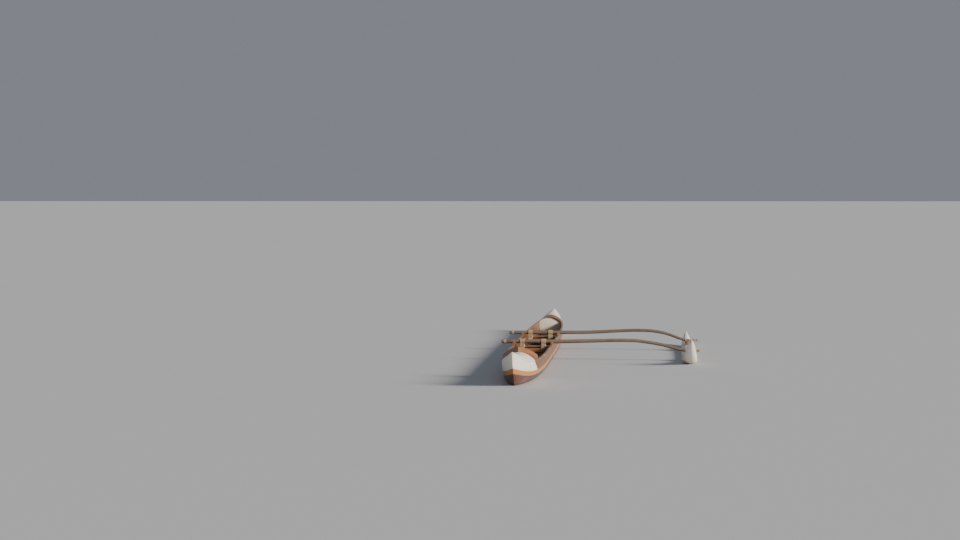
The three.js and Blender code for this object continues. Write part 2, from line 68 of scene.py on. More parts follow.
# The canoe's lines, in millimetres: place, half breadth, sheer, seam, keel, roundness of the section
hullLines = [
    (-6100, 12, 402, 262, 388, 1.00), (-6020, 36, 380, 244, 316, 1.02), (-5900, 65, 351, 219, 208, 1.08),
    (-5700, 101, 314, 188, 72, 1.18), (-5500, 129, 287, 165, -28, 1.30), (-5200, 162, 259, 141, -110, 1.48),
    (-4700, 198, 231, 116, -168, 1.70), (-4000, 229, 214, 99, -205, 1.92), (-3000, 251, 207, 92, -228, 2.05),
    (-1500, 258, 205, 90, -238, 2.10), (0, 259, 205, 90, -240, 2.10), (1500, 257, 205, 90, -238, 2.10),
    (3000, 242, 208, 93, -226, 2.00), (4000, 212, 217, 102, -200, 1.85), (4800, 170, 236, 121, -158, 1.62),
    (5300, 134, 261, 143, -100, 1.40), (5600, 105, 286, 164, -28, 1.26), (5800, 79, 308, 182, 68, 1.14),
    (5950, 52, 329, 199, 178, 1.06), (6050, 30, 346, 214, 268, 1.02), (6100, 12, 356, 222, 342, 1.00),
]
# place, half breadth, top, bottom
floatLines = [
    (-2350, 9, 366, 352), (-2290, 27, 352, 300), (-2130, 53, 300, 190), (-1900, 75, 218, 74),
    (-1620, 90, 152, -12), (-1350, 97, 112, -58), (-1050, 101, 94, -82), (-500, 103, 88, -96),
    (200, 102, 87, -98), (1200, 97, 91, -86), (1900, 82, 108, -48), (2400, 56, 144, 32),
    (2700, 26, 180, 124), (2800, 9, 192, 178),
]
# place across, rise over the height at the hull, radius
boomLines = {
    "front": [
        (-420, -3, 21), (-300, 0, 25), (0, 0, 26), (300, 0, 26), (550, 4, 25), (850, 12, 24), (1100, 19, 23),
        (1350, 16, 22.5), (1550, -8, 22), (1720, -39, 21), (1860, -76, 20), (1960, -101, 19),
        (2080, -118, 18), (2210, -114, 15),
    ],
    "rear": [
        (-440, -4, 21), (-300, 0, 25), (0, 0, 26), (300, 0, 26), (550, 2, 25), (850, 11, 24), (1100, 25, 23),
        (1350, 34, 22.5), (1580, 26, 22), (1760, -4, 21), (1880, -43, 20), (1970, -77, 19),
        (2080, -105, 18), (2225, -101, 15),
    ],
}
boomAmidships = 26  # radius
boomPlaces = {"front": -1050, "rear": 1200}
floatPlace = 2080
seatPlaces = [-2950, -1750, -550, 650, 1850, 3150]
ends = {
    "bowTip": -6100, "bowPiece": -5350, "bowDeck": -4300,
    "sternDeck": 4500, "sternPiece": 5450, "sternTip": 6100,
}
shell = {"wall": 18, "floor": 24, "carvedTo": 5150}
gap = 0.3
scarfs = [-1750, 1850]  # where the strakes and rails are joined, under a seat
lengths = {
    "fore": (ends["bowDeck"] + 1.5 * gap, scarfs[0] - gap / 2),
    "middle": (scarfs[0] + gap / 2, scarfs[1] - gap / 2),
    "aft": (scarfs[1] + gap / 2, ends["sternDeck"] - 1.5 * gap),
}
sides = {"port": 1, "starboard": -1}


def rowAt(rows, place):
    last = len(rows) - 2
    i = 0
    while i < last and rows[i + 1][0] <= place:
        i += 1
    before, a, b, after = rows[max(i - 1, 0)], rows[i], rows[i + 1], rows[min(i + 2, last + 1)]
    span = b[0] - a[0]
    t = min(max((place - a[0]) / span, 0), 1)
    row = []
    for k in range(1, len(a)):
        into = (b[k] - before[k]) / (b[0] - before[0]) * span
        out = (after[k] - a[k]) / (after[0] - a[0]) * span
        row.append(
            a[k] * (2 * t**3 - 3 * t**2 + 1) + into * (t**3 - 2 * t**2 + t)
            + b[k] * (3 * t**2 - 2 * t**3) + out * (t**3 - t**2)
        )
    return row


def outside(y, z, wall=0, floor=0):
    half, sheer, _, keel, roundness = rowAt(hullLines, y)
    share = min(max((z - keel - floor) / (sheer - keel - floor), 0), 1)
    full = 1.2 + 1.3 * (roundness - 1)
    return (half - wall) * (1 - (1 - share) ** full) ** (1 / roundness)


def inside(y, z):
    return outside(y, z, shell["wall"], shell["floor"])


def breadthAt(y):
    return rowAt(hullLines, y)[0]


def sheerAt(y):
    return rowAt(hullLines, y)[1]


def seamAt(y):
    return rowAt(hullLines, y)[2]


def railTop(y):
    return sheerAt(y) + gap + railShape["height"]


def spaced(start, stop, step):
    count = max(int(round(abs(stop - start) / step)), 1)
    return [start + (stop - start) * i / count for i in range(count + 1)]


def fading(distance, reach):  # 1 at the middle, and 0 from the reach outwards
    return max(0, 1 - abs(distance) / reach)


def arc(x, z, radius, start, stop, steps):  # angles in degrees
    turns = [math.radians(start + (stop - start) * k / steps) for k in range(steps + 1)]
    return [(x + radius * math.cos(a), z + radius * math.sin(a)) for a in turns]


def easedEnds(start, stop, step, ease):  # with a narrow step at each end, for its rounded edge
    return [start, start + ease] + spaced(start + ease, stop - ease, step)[1:-1] + [stop - ease, stop]


def crowdedEnds(start, stop, count, share):  # stations that crowd together towards both ends
    places = []
    for even in spaced(0, 1, 1 / count):
        crowded = 0.5 - 0.5 * math.cos(math.pi * even)
        places.append(start + (stop - start) * ((1 - share) * even + share * crowded))
    return places


def noseRound(distance, reach):  # the share of the full breadth that a rounded end has there
    return math.sqrt(max(1 - (1 - min(distance / reach, 1)) ** 2, 0))


def makeObject(name, points, faces, materials=(), edges=()):
    mesh = bpy.data.meshes.new(name)
    corners = [(x * mm, y * mm, z * mm) for x, y, z in points]
    mesh.from_pydata(corners, list(edges), [tuple(face) for face in faces])
    for material in materials:
        mesh.materials.append(material)
    mesh.update()
    made = bpy.data.objects.new(name, mesh)
    bpy.context.scene.collection.objects.link(made)
    return made


def loft(rings):
    size = len(rings[0])
    points = [point for ring in rings for point in ring]
    faces = []
    for i in range(len(rings) - 1):
        for k in range(size):
            n = (k + 1) % size
            faces.append((i * size + k, i * size + n, (i + 1) * size + n, (i + 1) * size + k))
    faces += [tuple(reversed(range(size))), tuple(range(len(points) - size, len(points)))]
    return points, faces


def cleanUp(made, bevel=0, steps=2, sharpOver=38):
    mesh = bmesh.new()
    mesh.from_mesh(made.data)
    bmesh.ops.remove_doubles(mesh, verts=mesh.verts, dist=2e-5)
    bmesh.ops.dissolve_degenerate(mesh, dist=1e-6, edges=mesh.edges)
    bmesh.ops.recalc_face_normals(mesh, faces=mesh.faces)
    if bevel:
        corners = [e for e in mesh.edges if e.is_manifold and e.calc_face_angle() > math.radians(sharpOver)]
        bmesh.ops.bevel(mesh, geom=corners, offset=bevel * mm, segments=steps, profile=0.6,
                        affect="EDGES", clamp_overlap=True)
    big = [face for face in mesh.faces if len(face.verts) > 4]
    bmesh.ops.triangulate(mesh, faces=big, ngon_method="EAR_CLIP")
    for face in mesh.faces:
        face.smooth = True
    for edge in mesh.edges:
        if edge.is_manifold and edge.calc_face_angle() > math.radians(sharpOver):
            edge.smooth = False
    mesh.to_mesh(made.data)
    mesh.free()
    return made


def loftPiece(name, rings, material, bevel=0, steps=2, sharpOver=40):
    points, faces = loft(rings)
    return cleanUp(makeObject(name, points, faces, [material]), bevel, steps, sharpOver)


def setVector(made, name, measure):
    layer = made.data.attributes.new(name, "FLOAT_VECTOR", "POINT")
    layer.data.foreach_set("vector", [value for v in made.data.vertices for value in measure(v.co)])


def placeGrain(made, along, shift):
    order = {"x": (0, 1, 2), "y": (1, 0, 2), "z": (2, 0, 1)}[along]
    setVector(made, "woodPlace", lambda p: [p[k] + s for k, s in zip(order, shift)])


def setValue(made, name, measure):
    layer = made.data.attributes.new(name, "FLOAT", "POINT")
    layer.data.foreach_set("value", [measure(v.co / mm) for v in made.data.vertices])


def inRow(points):
    return [(i, i + 1) for i in range(len(points) - 1)]


def joinPieces(name, parts):
    first = parts[0]
    with bpy.context.temp_override(active_object=first, object=first, selected_objects=parts,
                                   selected_editable_objects=parts):
        bpy.ops.object.join()
    first.name = name
    first.data.name = name
    return first


def settle(made, slot, *nodes):
    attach(made, "root")
    if nodes:
        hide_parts(*nodes)


def shiftFor(name):  # where in its timber each piece was sawn from
    chance = random.Random(name)
    return (chance.uniform(-9, 9), chance.uniform(0.05, 0.14), chance.uniform(0.06, 0.2))


# Shader nodes
def addNode(tree, kind, inputs=None, **settings):
    made = tree.nodes.new(kind)
    made.location = (220 * (len(tree.nodes) - 1), -30 * (len(tree.nodes) % 5))
    for name, value in settings.items():
        setattr(made, name, value)
    for name, value in (inputs or {}).items():
        if isinstance(value, bpy.types.NodeSocket):
            tree.links.new(value, made.inputs[name])
        else:
            made.inputs[name].default_value = value
    return made


def calc(operation, a, b=0.0, clamp=False):  # goes into the tree of whichever value is a socket
    tree = (a if isinstance(a, bpy.types.NodeSocket) else b).id_data
    return addNode(tree, "ShaderNodeMath", {0: a, 1: b}, operation=operation, use_clamp=clamp).outputs[0]


def plus(a, b, clamp=False):
    return calc("ADD", a, b, clamp)


def minus(a, b, clamp=False):
    return calc("SUBTRACT", a, b, clamp)


def times(a, b):
    return calc("MULTIPLY", a, b)


def vectorCalc(operation, a, b=(0, 0, 0)):
    second = "Scale" if operation == "SCALE" else 1
    made = addNode(a.id_data, "ShaderNodeVectorMath", {0: a, second: b}, operation=operation)
    return made.outputs["Value" if operation in ("LENGTH", "DOT_PRODUCT") else "Vector"]


def noise(place, stretch, detail=2.0, roughness=0.5):
    place = vectorCalc("MULTIPLY", place, stretch)
    inputs = {"Vector": place, "Scale": 1.0, "Detail": detail, "Roughness": roughness}
    return addNode(place.id_data, "ShaderNodeTexNoise", inputs).outputs["Fac"]


def ramp(value, start, stop, low=0.0, high=1.0):
    inputs = {"Value": value, "From Min": start, "From Max": stop, "To Min": low, "To Max": high}
    made = addNode(value.id_data, "ShaderNodeMapRange", inputs, interpolation_type="SMOOTHSTEP")
    return made.outputs["Result"]


def blendColor(factor, a, b, mode="MIX"):
    inputs = {0: factor, 6: a, 7: b}
    return addNode(factor.id_data, "ShaderNodeMix", inputs, data_type="RGBA", blend_type=mode).outputs[2]


def newGroup(name, inputs, outputs, treeKind="ShaderNodeTree"):
    tree = bpy.data.node_groups.new(name, treeKind)
    for direction, rows in (("INPUT", inputs), ("OUTPUT", outputs)):
        for label, kind, *start in rows:
            socket = tree.interface.new_socket(label, in_out=direction, socket_type=f"NodeSocket{kind}")
            if start:
                socket.default_value = start[0]
    return tree, tree.nodes.new("NodeGroupInput").outputs, tree.nodes.new("NodeGroupOutput").inputs


def placeGroup(tree, group, inputs):
    return addNode(tree, "ShaderNodeGroup", inputs, node_tree=group).outputs


# Growth rings, pores, curl and weather checks of timber; the first number of Place runs along the grain
def buildWoodFigure():
    tree, given, out = newGroup("woodFigure", [
        ("Place", "Vector"), ("Pale", "Color", (0.4, 0.2, 0.1, 1)),
        ("Dark", "Color", (0.2, 0.1, 0.05, 1)), ("Ring Spacing", "Float", 0.012),
        ("Wander", "Float", 0.03), ("Pores", "Float", 0.5), ("Curl", "Float", 0.2), ("Checks", "Float", 0.0),
    ], [("Color", "Color"), ("Height", "Float"), ("Streak", "Float")])
    place = given["Place"]
    slow = {"Vector": vectorCalc("MULTIPLY", place, (0.9, 5, 5)), "Scale": 1.0, "Detail": 3.0}
    slow = addNode(tree, "ShaderNodeTexNoise", slow)
    drift = vectorCalc("SUBTRACT", slow.outputs["Color"], (0.5, 0.5, 0.5))
    drift = vectorCalc("SCALE", drift, given["Wander"])
    moved = vectorCalc("ADD", place, drift)
    radius = vectorCalc("LENGTH", vectorCalc("MULTIPLY", moved, (0, 1, 1)))
    count = calc("DIVIDE", radius, given["Ring Spacing"])
    ring = calc("FRACT", count)
    late = times(calc("POWER", ring, 2.2), ramp(ring, 1.0, 0.9))
    streak = noise(place, (7, 210, 210), 3.0, 0.6)
    fibre = noise(place, (16, 620, 620), 2.0, 0.5)
    broad = noise(place, (0.6, 6, 6), 3.0)
    pores = ramp(noise(place, (55, 1100, 1100), 1.0), 0.60, 0.72)
    curl = noise(place, (26, 7, 7), 2.0)
    split = noise(moved, (1.4, 62, 62), 1.0)
    split = calc("ABSOLUTE", minus(split, 0.5))
    split = times(ramp(split, 0.016, 0.004), given["Checks"])
    weathered = ramp(noise(place, (2.3, 13, 13), 2.0), 0.50, 0.60)
    split = times(split, weathered)
    mix = times(late, 0.5)
    mix = plus(mix, ramp(streak, 0.25, 0.75, -0.22, 0.34))
    mix = plus(mix, ramp(fibre, 0.25, 0.75, -0.10, 0.16))
    mix = plus(mix, ramp(broad, 0.25, 0.75, -0.1, 0.42), clamp=True)
    color = blendColor(mix, given["Pale"], given["Dark"])
    curlShade = times(minus(curl, 0.5), given["Curl"])
    shade = times(times(pores, given["Pores"]), 0.5)
    shade = plus(shade, times(split, 0.72), clamp=True)
    shade = times(minus(1.0, shade), plus(curlShade, 1.0))
    tree.links.new(vectorCalc("SCALE", color, shade), out["Color"])
    height = times(streak, 0.7)
    height = plus(height, times(fibre, 0.4))
    height = minus(height, times(pores, given["Pores"]))
    height = minus(height, times(split, 2.5))
    tree.links.new(minus(height, times(late, 0.25)), out["Height"])
    tree.links.new(streak, out["Streak"])
    return tree


# Wear along edges, and streaks along the grain where use and ropes rub
def buildEdgeRub():
    tree, given, out = newGroup("edgeRub", [
        ("Place", "Vector"), ("Width", "Float", 0.004), ("Amount", "Float", 0.5),
        ("Rubbed", "Float", 0.0),
    ], [("Mask", "Float")])
    rounded = addNode(tree, "ShaderNodeBevel", {"Radius": given["Width"]}, samples=4)
    plain = addNode(tree, "ShaderNodeNewGeometry").outputs["Normal"]
    edge = ramp(vectorCalc("DOT_PRODUCT", rounded.outputs[0], plain), 0.995, 0.90)
    patches = noise(given["Place"], (8, 55, 55), 3.0, 0.6)
    streaks = noise(given["Place"], (12, 340, 340), 2.0, 0.5)
    patches = plus(times(patches, 0.6), times(streaks, 0.4))
    worn = times(edge, given["Amount"])
    worn = plus(worn, times(given["Rubbed"], 0.95))
    worn = plus(worn, times(minus(patches, 0.5), 2.0))
    present = plus(edge, given["Rubbed"], clamp=True)
    worn = times(ramp(worn, 0.26, 0.66), ramp(present, 0.02, 0.30))
    tree.links.new(worn, out["Mask"])
    return tree


# Damp just over the waterline, a broken bloom of dried salt above it, and fine scratches on the sides
def buildWaterMarks():
    tree, given, out = newGroup("waterMarks", [("Position", "Vector"), ("Reach", "Float", 0.03)],
                                [("Damp", "Float"), ("Salt", "Float"), ("Scratches", "Float")])
    position = given["Position"]
    height = addNode(tree, "ShaderNodeSeparateXYZ", {0: position}).outputs["Z"]
    wobble = noise(position, (2.2, 2.2, 0.5), 4.0, 0.6)
    wobble = times(minus(wobble, 0.5), 0.05)
    level = minus(height, wobble)
    level = calc("DIVIDE", level, given["Reach"])
    tree.links.new(ramp(level, 1.25, 0.25), out["Damp"])
    band = times(ramp(level, 0.7, 1.2), ramp(level, 2.6, 1.2))
    crust = noise(position, (90, 90, 50), 6.0, 0.75)
    drifts = noise(position, (4, 2.5, 9), 3.0)
    crust = plus(crust, minus(drifts, 0.5))
    tree.links.new(times(band, ramp(crust, 0.46, 0.78)), out["Salt"])
    lines = noise(position, (30, 5, 420), 3.0, 0.7)
    where = ramp(noise(position, (3, 1.4, 5), 2.0), 0.5, 0.66)
    tree.links.new(times(ramp(lines, 0.60, 0.70), where), out["Scratches"])
    return tree


# Brush marks, fading, drip marks, hair cracks and chips of old paint
paintTones = {
    "yellowed": (0.70, 0.62, 0.48, 1), "brushed": (0.60, 0.56, 0.48, 1), "patched": (0.66, 0.60, 0.50, 1),
    "soiled": (0.34, 0.28, 0.21, 1), "cracked": (0.25, 0.20, 0.15, 1), "scratched": (0.36, 0.31, 0.26, 1),
    "salted": (0.46, 0.43, 0.33, 1),
}


def buildAgedPaint():
    tree, given, out = newGroup("agedPaint", [
        ("Place", "Vector"), ("Position", "Vector"), ("Paint", "Color", (0.8, 0.8, 0.8, 1)),
        ("Under", "Color", (0.3, 0.2, 0.1, 1)), ("Rub", "Float", 0.0), ("Chips", "Float", 0.3),
        ("Grime", "Float", 0.5),
    ], [("Color", "Color"), ("Bare", "Float"), ("Height", "Float"), ("Gloss", "Float")])
    place = given["Place"]
    fade = noise(place, (1.8, 6, 6), 4.0, 0.6)
    strokes = noise(place, (6, 300, 300), 2.0, 0.5)
    coats = noise(place, (3.5, 34, 34), 3.0, 0.6)
    grime = noise(place, (11, 20, 20), 6.0, 0.72)
    tone = blendColor(ramp(fade, 0.3, 0.72, 0.0, 0.5), given["Paint"], paintTones["yellowed"])
    tone = blendColor(ramp(strokes, 0.35, 0.75, 0.0, 0.22), tone, paintTones["brushed"])
    tone = blendColor(ramp(coats, 0.50, 0.72, 0.0, 0.25), tone, paintTones["patched"])
    normal = addNode(tree, "ShaderNodeNewGeometry").outputs["Normal"]
    upward = addNode(tree, "ShaderNodeSeparateXYZ", {0: normal}).outputs["Z"]
    steep = ramp(calc("ABSOLUTE", upward), 0.62, 0.25)
    runs = noise(given["Position"], (26, 26, 1.6), 4.0, 0.6)
    runs = times(ramp(runs, 0.54, 0.74), steep)
    soil = calc("MAXIMUM", ramp(grime, 0.50, 0.78), runs)
    soil = times(soil, given["Grime"])
    tone = blendColor(soil, tone, paintTones["soiled"])
    small = noise(place, (48, 95, 95), 5.0, 0.7)
    patch = noise(place, (3, 9, 9), 2.0)
    chance = plus(small, times(minus(patch, 0.5), 0.5))
    chance = plus(chance, times(given["Rub"], 0.40))
    limit = minus(0.88, times(given["Chips"], 0.30))
    bare = ramp(minus(chance, limit), 0.0, 0.02)
    hair = minus(noise(place, (1.5, 46, 46), 1.0), 0.5)
    hair = ramp(calc("ABSOLUTE", hair), 0.006, 0.002)
    hair = times(hair, ramp(patch, 0.50, 0.62))
    tone = blendColor(times(hair, 0.55), tone, paintTones["cracked"])
    tree.links.new(blendColor(bare, tone, given["Under"]), out["Color"])
    tree.links.new(bare, out["Bare"])
    height = minus(times(strokes, 0.45), times(bare, 1.2))
    tree.links.new(minus(height, times(hair, 0.6)), out["Height"])
    gloss = plus(grime, times(strokes, 0.4))
    tree.links.new(ramp(gloss, 0.4, 1.0), out["Gloss"])
    return tree


woodFigure = buildWoodFigure()
edgeRub = buildEdgeRub()
waterMarks = buildWaterMarks()
agedPaint = buildAgedPaint()


def readAttribute(tree, name, output="Fac"):
    return addNode(tree, "ShaderNodeAttribute", attribute_name=name).outputs[output]


def newMaterial(name, shaderValues):
    made = bpy.data.materials.new(name)
    made.use_nodes = True
    tree = made.node_tree
    tree.nodes.clear()
    shader = tree.nodes.new("ShaderNodeBsdfPrincipled")
    finished = tree.nodes.new("ShaderNodeOutputMaterial")
    tree.links.new(shader.outputs[0], finished.inputs[0])
    for label, value in shaderValues.items():
        shader.inputs[label].default_value = value
    return made, tree, shader


def wireUp(tree, shader, color, rough, height, strength):
    bump = addNode(tree, "ShaderNodeBump", {"Strength": strength, "Distance": 0.0006, "Height": height})
    for label, value in (("Base Color", color), ("Roughness", rough), ("Normal", bump.outputs[0])):
        tree.links.new(value, shader.inputs[label])


woodTones = {"damp": (0.50, 0.50, 0.52, 1), "salted": (0.62, 0.60, 0.56, 1)}
waverOfEdges = 0.0016  # metres, in the hand-cut edges of the paint


def makeWood(name, look):
    made, tree, shader = newMaterial(name, {
        "Coat Weight": look["coat"], "Coat Roughness": 0.25, "Specular IOR Level": look["shine"],
    })
    place = readAttribute(tree, "woodPlace", "Vector")
    rubbed = readAttribute(tree, "rubbed")
    position = addNode(tree, "ShaderNodeTexCoord").outputs["Object"]
    figure = placeGroup(tree, woodFigure, {
        "Place": place, "Pale": look["pale"], "Dark": look["dark"], "Ring Spacing": look["rings"],
        "Wander": look["wander"], "Pores": look["pores"], "Curl": look["curl"], "Checks": look["checks"],
    })
    rub = placeGroup(tree, edgeRub, {
        "Place": place, "Width": look["edge"], "Amount": look["worn"], "Rubbed": rubbed,
    })["Mask"]
    marks = placeGroup(tree, waterMarks, {"Position": position, "Reach": look["reach"]})
    color = figure["Color"]
    if "band" in look:
        depth = readAttribute(tree, "bandDepth")
        waver = times(noise(position, (9, 9, 9), 2.0), waverOfEdges)
        painted = plus(depth, waver)
        painted = ramp(painted, look["bandDepth"] + 0.0012, look["bandDepth"] + 0.0004)
        kept = ramp(noise(position, (50, 14, 90), 5.0, 0.7), 0.76, 0.70)
        aged = ramp(figure["Streak"], 0.3, 0.8, 0, 0.5)
        aged = blendColor(aged, look["band"], look["bandAged"])
        color = blendColor(times(painted, kept), color, aged)
    color = blendColor(rub, color, look["bare"])
    scratched = times(marks["Scratches"], look["scratches"])
    color = blendColor(scratched, color, look["bare"])
    color = blendColor(marks["Damp"], color, woodTones["damp"], "MULTIPLY")
    color = blendColor(times(marks["Salt"], 0.28), color, woodTones["salted"])
    low, high = look["roughness"]
    rough = ramp(figure["Streak"], 0.25, 0.75, low, high)
    rough = plus(rough, times(rub, 0.28))
    rough = plus(rough, times(marks["Salt"], 0.3))
    rough = minus(rough, times(marks["Damp"], 0.12), clamp=True)
    wireUp(tree, shader, color, rough, minus(figure["Height"], times(rub, 0.6)), look["bump"])
    return made


def makePaint(name, look):
    made, tree, shader = newMaterial(name, {
        "Coat Weight": look["coat"], "Coat Roughness": 0.3, "Specular IOR Level": 0.4,
    })
    place = readAttribute(tree, "woodPlace", "Vector")
    rubbed = readAttribute(tree, "rubbed")
    position = addNode(tree, "ShaderNodeTexCoord").outputs["Object"]
    figure = placeGroup(tree, woodFigure, {
        "Place": place, "Pale": look["underPale"], "Dark": look["underDark"], "Pores": 0.8,
    })
    rub = placeGroup(tree, edgeRub, {
        "Place": place, "Width": 0.004, "Amount": look["worn"], "Rubbed": rubbed,
    })["Mask"]
    paint = placeGroup(tree, agedPaint, {
        "Place": place, "Position": position, "Paint": look["paint"], "Under": figure["Color"],
        "Rub": rub, "Chips": look["chips"], "Grime": look["grime"],
    })
    marks = placeGroup(tree, waterMarks, {"Position": position, "Reach": look["reach"]})
    color, height = paint["Color"], paint["Height"]
    if "varnish" in look:  # past the paint line the timber is varnished
        timber = placeGroup(tree, woodFigure, {
            "Place": place, "Pale": look["varnish"], "Dark": look["varnishDark"], "Ring Spacing": 0.011,
            "Wander": 0.035, "Pores": 0.6, "Curl": 0.35,
        })
        past = readAttribute(tree, "varnished")
        waver = times(noise(position, (9, 9, 9), 2.0), waverOfEdges)
        past = ramp(minus(past, waver), 0.0008, 0.0016)
        rubbedTimber = blendColor(rub, timber["Color"], look["varnishRubbed"])
        color = blendColor(past, color, rubbedTimber)
        lower = minus(minus(timber["Height"], height), 0.5)
        height = plus(height, times(lower, past))
    scratched = times(marks["Scratches"], 0.6)
    color = blendColor(scratched, color, paintTones["scratched"])
    color = blendColor(marks["Damp"], color, look["dampTint"], "MULTIPLY")
    bloom = times(marks["Salt"], look["bloom"])
    color = blendColor(bloom, color, paintTones["salted"])
    low, high = look["roughness"]
    rough = ramp(paint["Gloss"], 0, 1, low, high)
    rough = plus(rough, times(paint["Bare"], 0.3))
    rough = minus(rough, times(marks["Damp"], 0.15), clamp=True)
    wireUp(tree, shader, color, rough, height, look["bump"])
    return made


def makeRope(name, look):
    made, tree, shader = newMaterial(name, {
        "Sheen Weight": 0.15, "Sheen Roughness": 0.6, "Specular IOR Level": 0.25,
    })
    place = readAttribute(tree, "ropePlace", "Vector")
    groove = readAttribute(tree, "groove")
    position = addNode(tree, "ShaderNodeTexCoord").outputs["Object"]
    fibres = noise(place, (900, 9, 9), 3.0, 0.6)
    sun = noise(position, (22, 22, 22), 3.0)
    color = blendColor(ramp(fibres, 0.25, 0.75), look["pale"], look["dark"])
    color = blendColor(ramp(sun, 0.35, 0.75, 0, 0.6), color, look["stained"])
    # The grooves between the strands are darkened towards the deep colour: painted shade in the grooves.
    color = blendColor(ramp(groove, 0.35, 1.0, 0, 0.85), color, look["deep"])
    wireUp(tree, shader, color, ramp(sun, 0.3, 0.8, 0.95, 0.78), fibres, 0.7)
    return made


bronzeTones = {"bright": (0.42, 0.27, 0.12, 1), "dull": (0.16, 0.20, 0.14, 1)}


def makeBronze(name):
    made, tree, shader = newMaterial(name, {})
    position = addNode(tree, "ShaderNodeTexCoord").outputs["Object"]
    dull = noise(position, (300, 300, 300), 4.0, 0.6)
    color = blendColor(ramp(dull, 0.35, 0.7), bronzeTones["bright"], bronzeTones["dull"])
    tree.links.new(color, shader.inputs["Base Color"])
    tree.links.new(ramp(dull, 0.35, 0.7, 0.9, 0.35), shader.inputs["Metallic"])
    tree.links.new(ramp(dull, 0.3, 0.7, 0.35, 0.7), shader.inputs["Roughness"])
    return made


varnishedLook = {
    "rings": 0.011, "wander": 0.035, "pores": 0.6, "curl": 0.35, "checks": 0.1, "edge": 0.004, "worn": 0.5,
    "bare": (0.34, 0.21, 0.12, 1), "coat": 0.15, "shine": 0.35, "roughness": (0.30, 0.48), "bump": 0.25,
    "scratches": 0.45, "reach": 0.02,
}
hullWood = makeWood("oiledHullWood", {
    **varnishedLook, "pale": (0.112, 0.036, 0.021, 1), "dark": (0.046, 0.014, 0.010, 1), "rings": 0.016,
    "wander": 0.05, "checks": 0.25, "worn": 0.4, "bare": (0.22, 0.105, 0.060, 1), "coat": 0.12,
    "roughness": (0.30, 0.46), "scratches": 0.5, "reach": 0.032, "band": (0.50, 0.215, 0.043, 1),
    "bandAged": (0.31, 0.125, 0.028, 1), "bandDepth": 0.050,
})
carvedWood = makeWood("carvedInsideWood", {
    **varnishedLook, "pale": (0.22, 0.110, 0.060, 1), "dark": (0.10, 0.046, 0.028, 1), "rings": 0.018,
    "wander": 0.06, "pores": 0.8, "curl": 0.25, "checks": 0.3, "edge": 0.003, "worn": 0.15,
    "bare": (0.30, 0.19, 0.12, 1), "coat": 0.0, "shine": 0.3, "roughness": (0.5, 0.72), "bump": 0.6,
    "scratches": 0.5, "reach": 0.001,
})
strakeWood = makeWood("varnishedStrakeWood", {
    **varnishedLook, "pale": (0.195, 0.092, 0.043, 1), "dark": (0.084, 0.036, 0.018, 1),
})
railWood = makeWood("varnishedRailWood", {
    **varnishedLook, "pale": (0.29, 0.130, 0.052, 1), "dark": (0.120, 0.046, 0.020, 1), "rings": 0.008,
    "wander": 0.025, "curl": 0.25, "worn": 0.7, "bare": (0.45, 0.32, 0.20, 1), "coat": 0.2, "shine": 0.4,
    "roughness": (0.26, 0.46), "scratches": 0.3,
})
boomWood = makeWood("weatheredBoomWood", {
    **varnishedLook, "pale": (0.165, 0.125, 0.094, 1), "dark": (0.064, 0.046, 0.035, 1), "rings": 0.009,
    "wander": 0.03, "pores": 0.5, "curl": 0.15, "checks": 1.0, "edge": 0.003, "worn": 0.4,
    "bare": (0.26, 0.205, 0.155, 1), "coat": 0.0, "shine": 0.3, "roughness": (0.55, 0.80), "bump": 0.7,
    "scratches": 0.2,
})
plugWood = makeWood("plugWood", {
    **varnishedLook, "pale": (0.20, 0.090, 0.040, 1), "dark": (0.09, 0.038, 0.019, 1), "rings": 0.006,
    "wander": 0.01, "pores": 0.8, "curl": 0.1, "checks": 0.0, "edge": 0.001, "worn": 0.3,
    "roughness": (0.3, 0.5), "bump": 0.4, "scratches": 0.0,
})
endPaint = makePaint("whiteEndPaint", {
    "paint": (0.84, 0.81, 0.75, 1), "underPale": (0.30, 0.17, 0.09, 1), "underDark": (0.16, 0.085, 0.05, 1),
    "worn": 0.7, "chips": 0.42, "grime": 0.40, "coat": 0.1, "roughness": (0.34, 0.55), "reach": 0.035,
    "dampTint": (0.66, 0.64, 0.58, 1), "bloom": 0.2, "bump": 0.4, "varnish": (0.215, 0.103, 0.048, 1),
    "varnishDark": (0.092, 0.040, 0.020, 1), "varnishRubbed": (0.34, 0.21, 0.12, 1),
})
floatPaint = makePaint("whiteFloatPaint", {
    "paint": (0.82, 0.79, 0.73, 1), "underPale": (0.38, 0.27, 0.17, 1), "underDark": (0.22, 0.15, 0.095, 1),
    "worn": 0.8, "chips": 0.58, "grime": 0.5, "coat": 0.05, "roughness": (0.40, 0.62), "reach": 0.05,
    "dampTint": (0.56, 0.56, 0.46, 1), "bloom": 0.5, "bump": 0.5,
})
# The white paint of the bulkheads under the decks, made darker: the darker tone is painted shade, and the
# heavy grime is dirt.
insidePaintWithPaintedShade = makePaint("dullInsidePaint", {
    "paint": (0.60, 0.56, 0.49, 1), "underPale": (0.26, 0.15, 0.08, 1), "underDark": (0.14, 0.075, 0.045, 1),
    "worn": 0.7, "chips": 0.45, "grime": 0.8, "coat": 0.0, "roughness": (0.5, 0.75), "reach": 0.001,
    "dampTint": (0.7, 0.68, 0.6, 1), "bloom": 0.0, "bump": 0.4,
})
# Its deep colour is painted shade for the grooves between the strands.
lashingRope = makeRope("lashingRope", {
    "pale": (0.60, 0.45, 0.27, 1), "dark": (0.34, 0.235, 0.13, 1), "stained": (0.36, 0.29, 0.20, 1),
    "deep": (0.09, 0.058, 0.032, 1),
})
bronze = makeBronze("dullBronze")
print("finishes ready")


def newNodes(name, inputs):
    shape = [("Geometry", "Geometry")]
    tree, given, out = newGroup(name, shape + inputs, shape, "GeometryNodeTree")
    tree.is_modifier = True
    return tree, given, out


def store(tree, geometry, label, value, kind="FLOAT"):
    inputs = {"Geometry": geometry, "Name": label, "Value": value}
    node = addNode(tree, "GeometryNodeStoreNamedAttribute", inputs, data_type=kind, domain="POINT")
    return node.outputs[0]


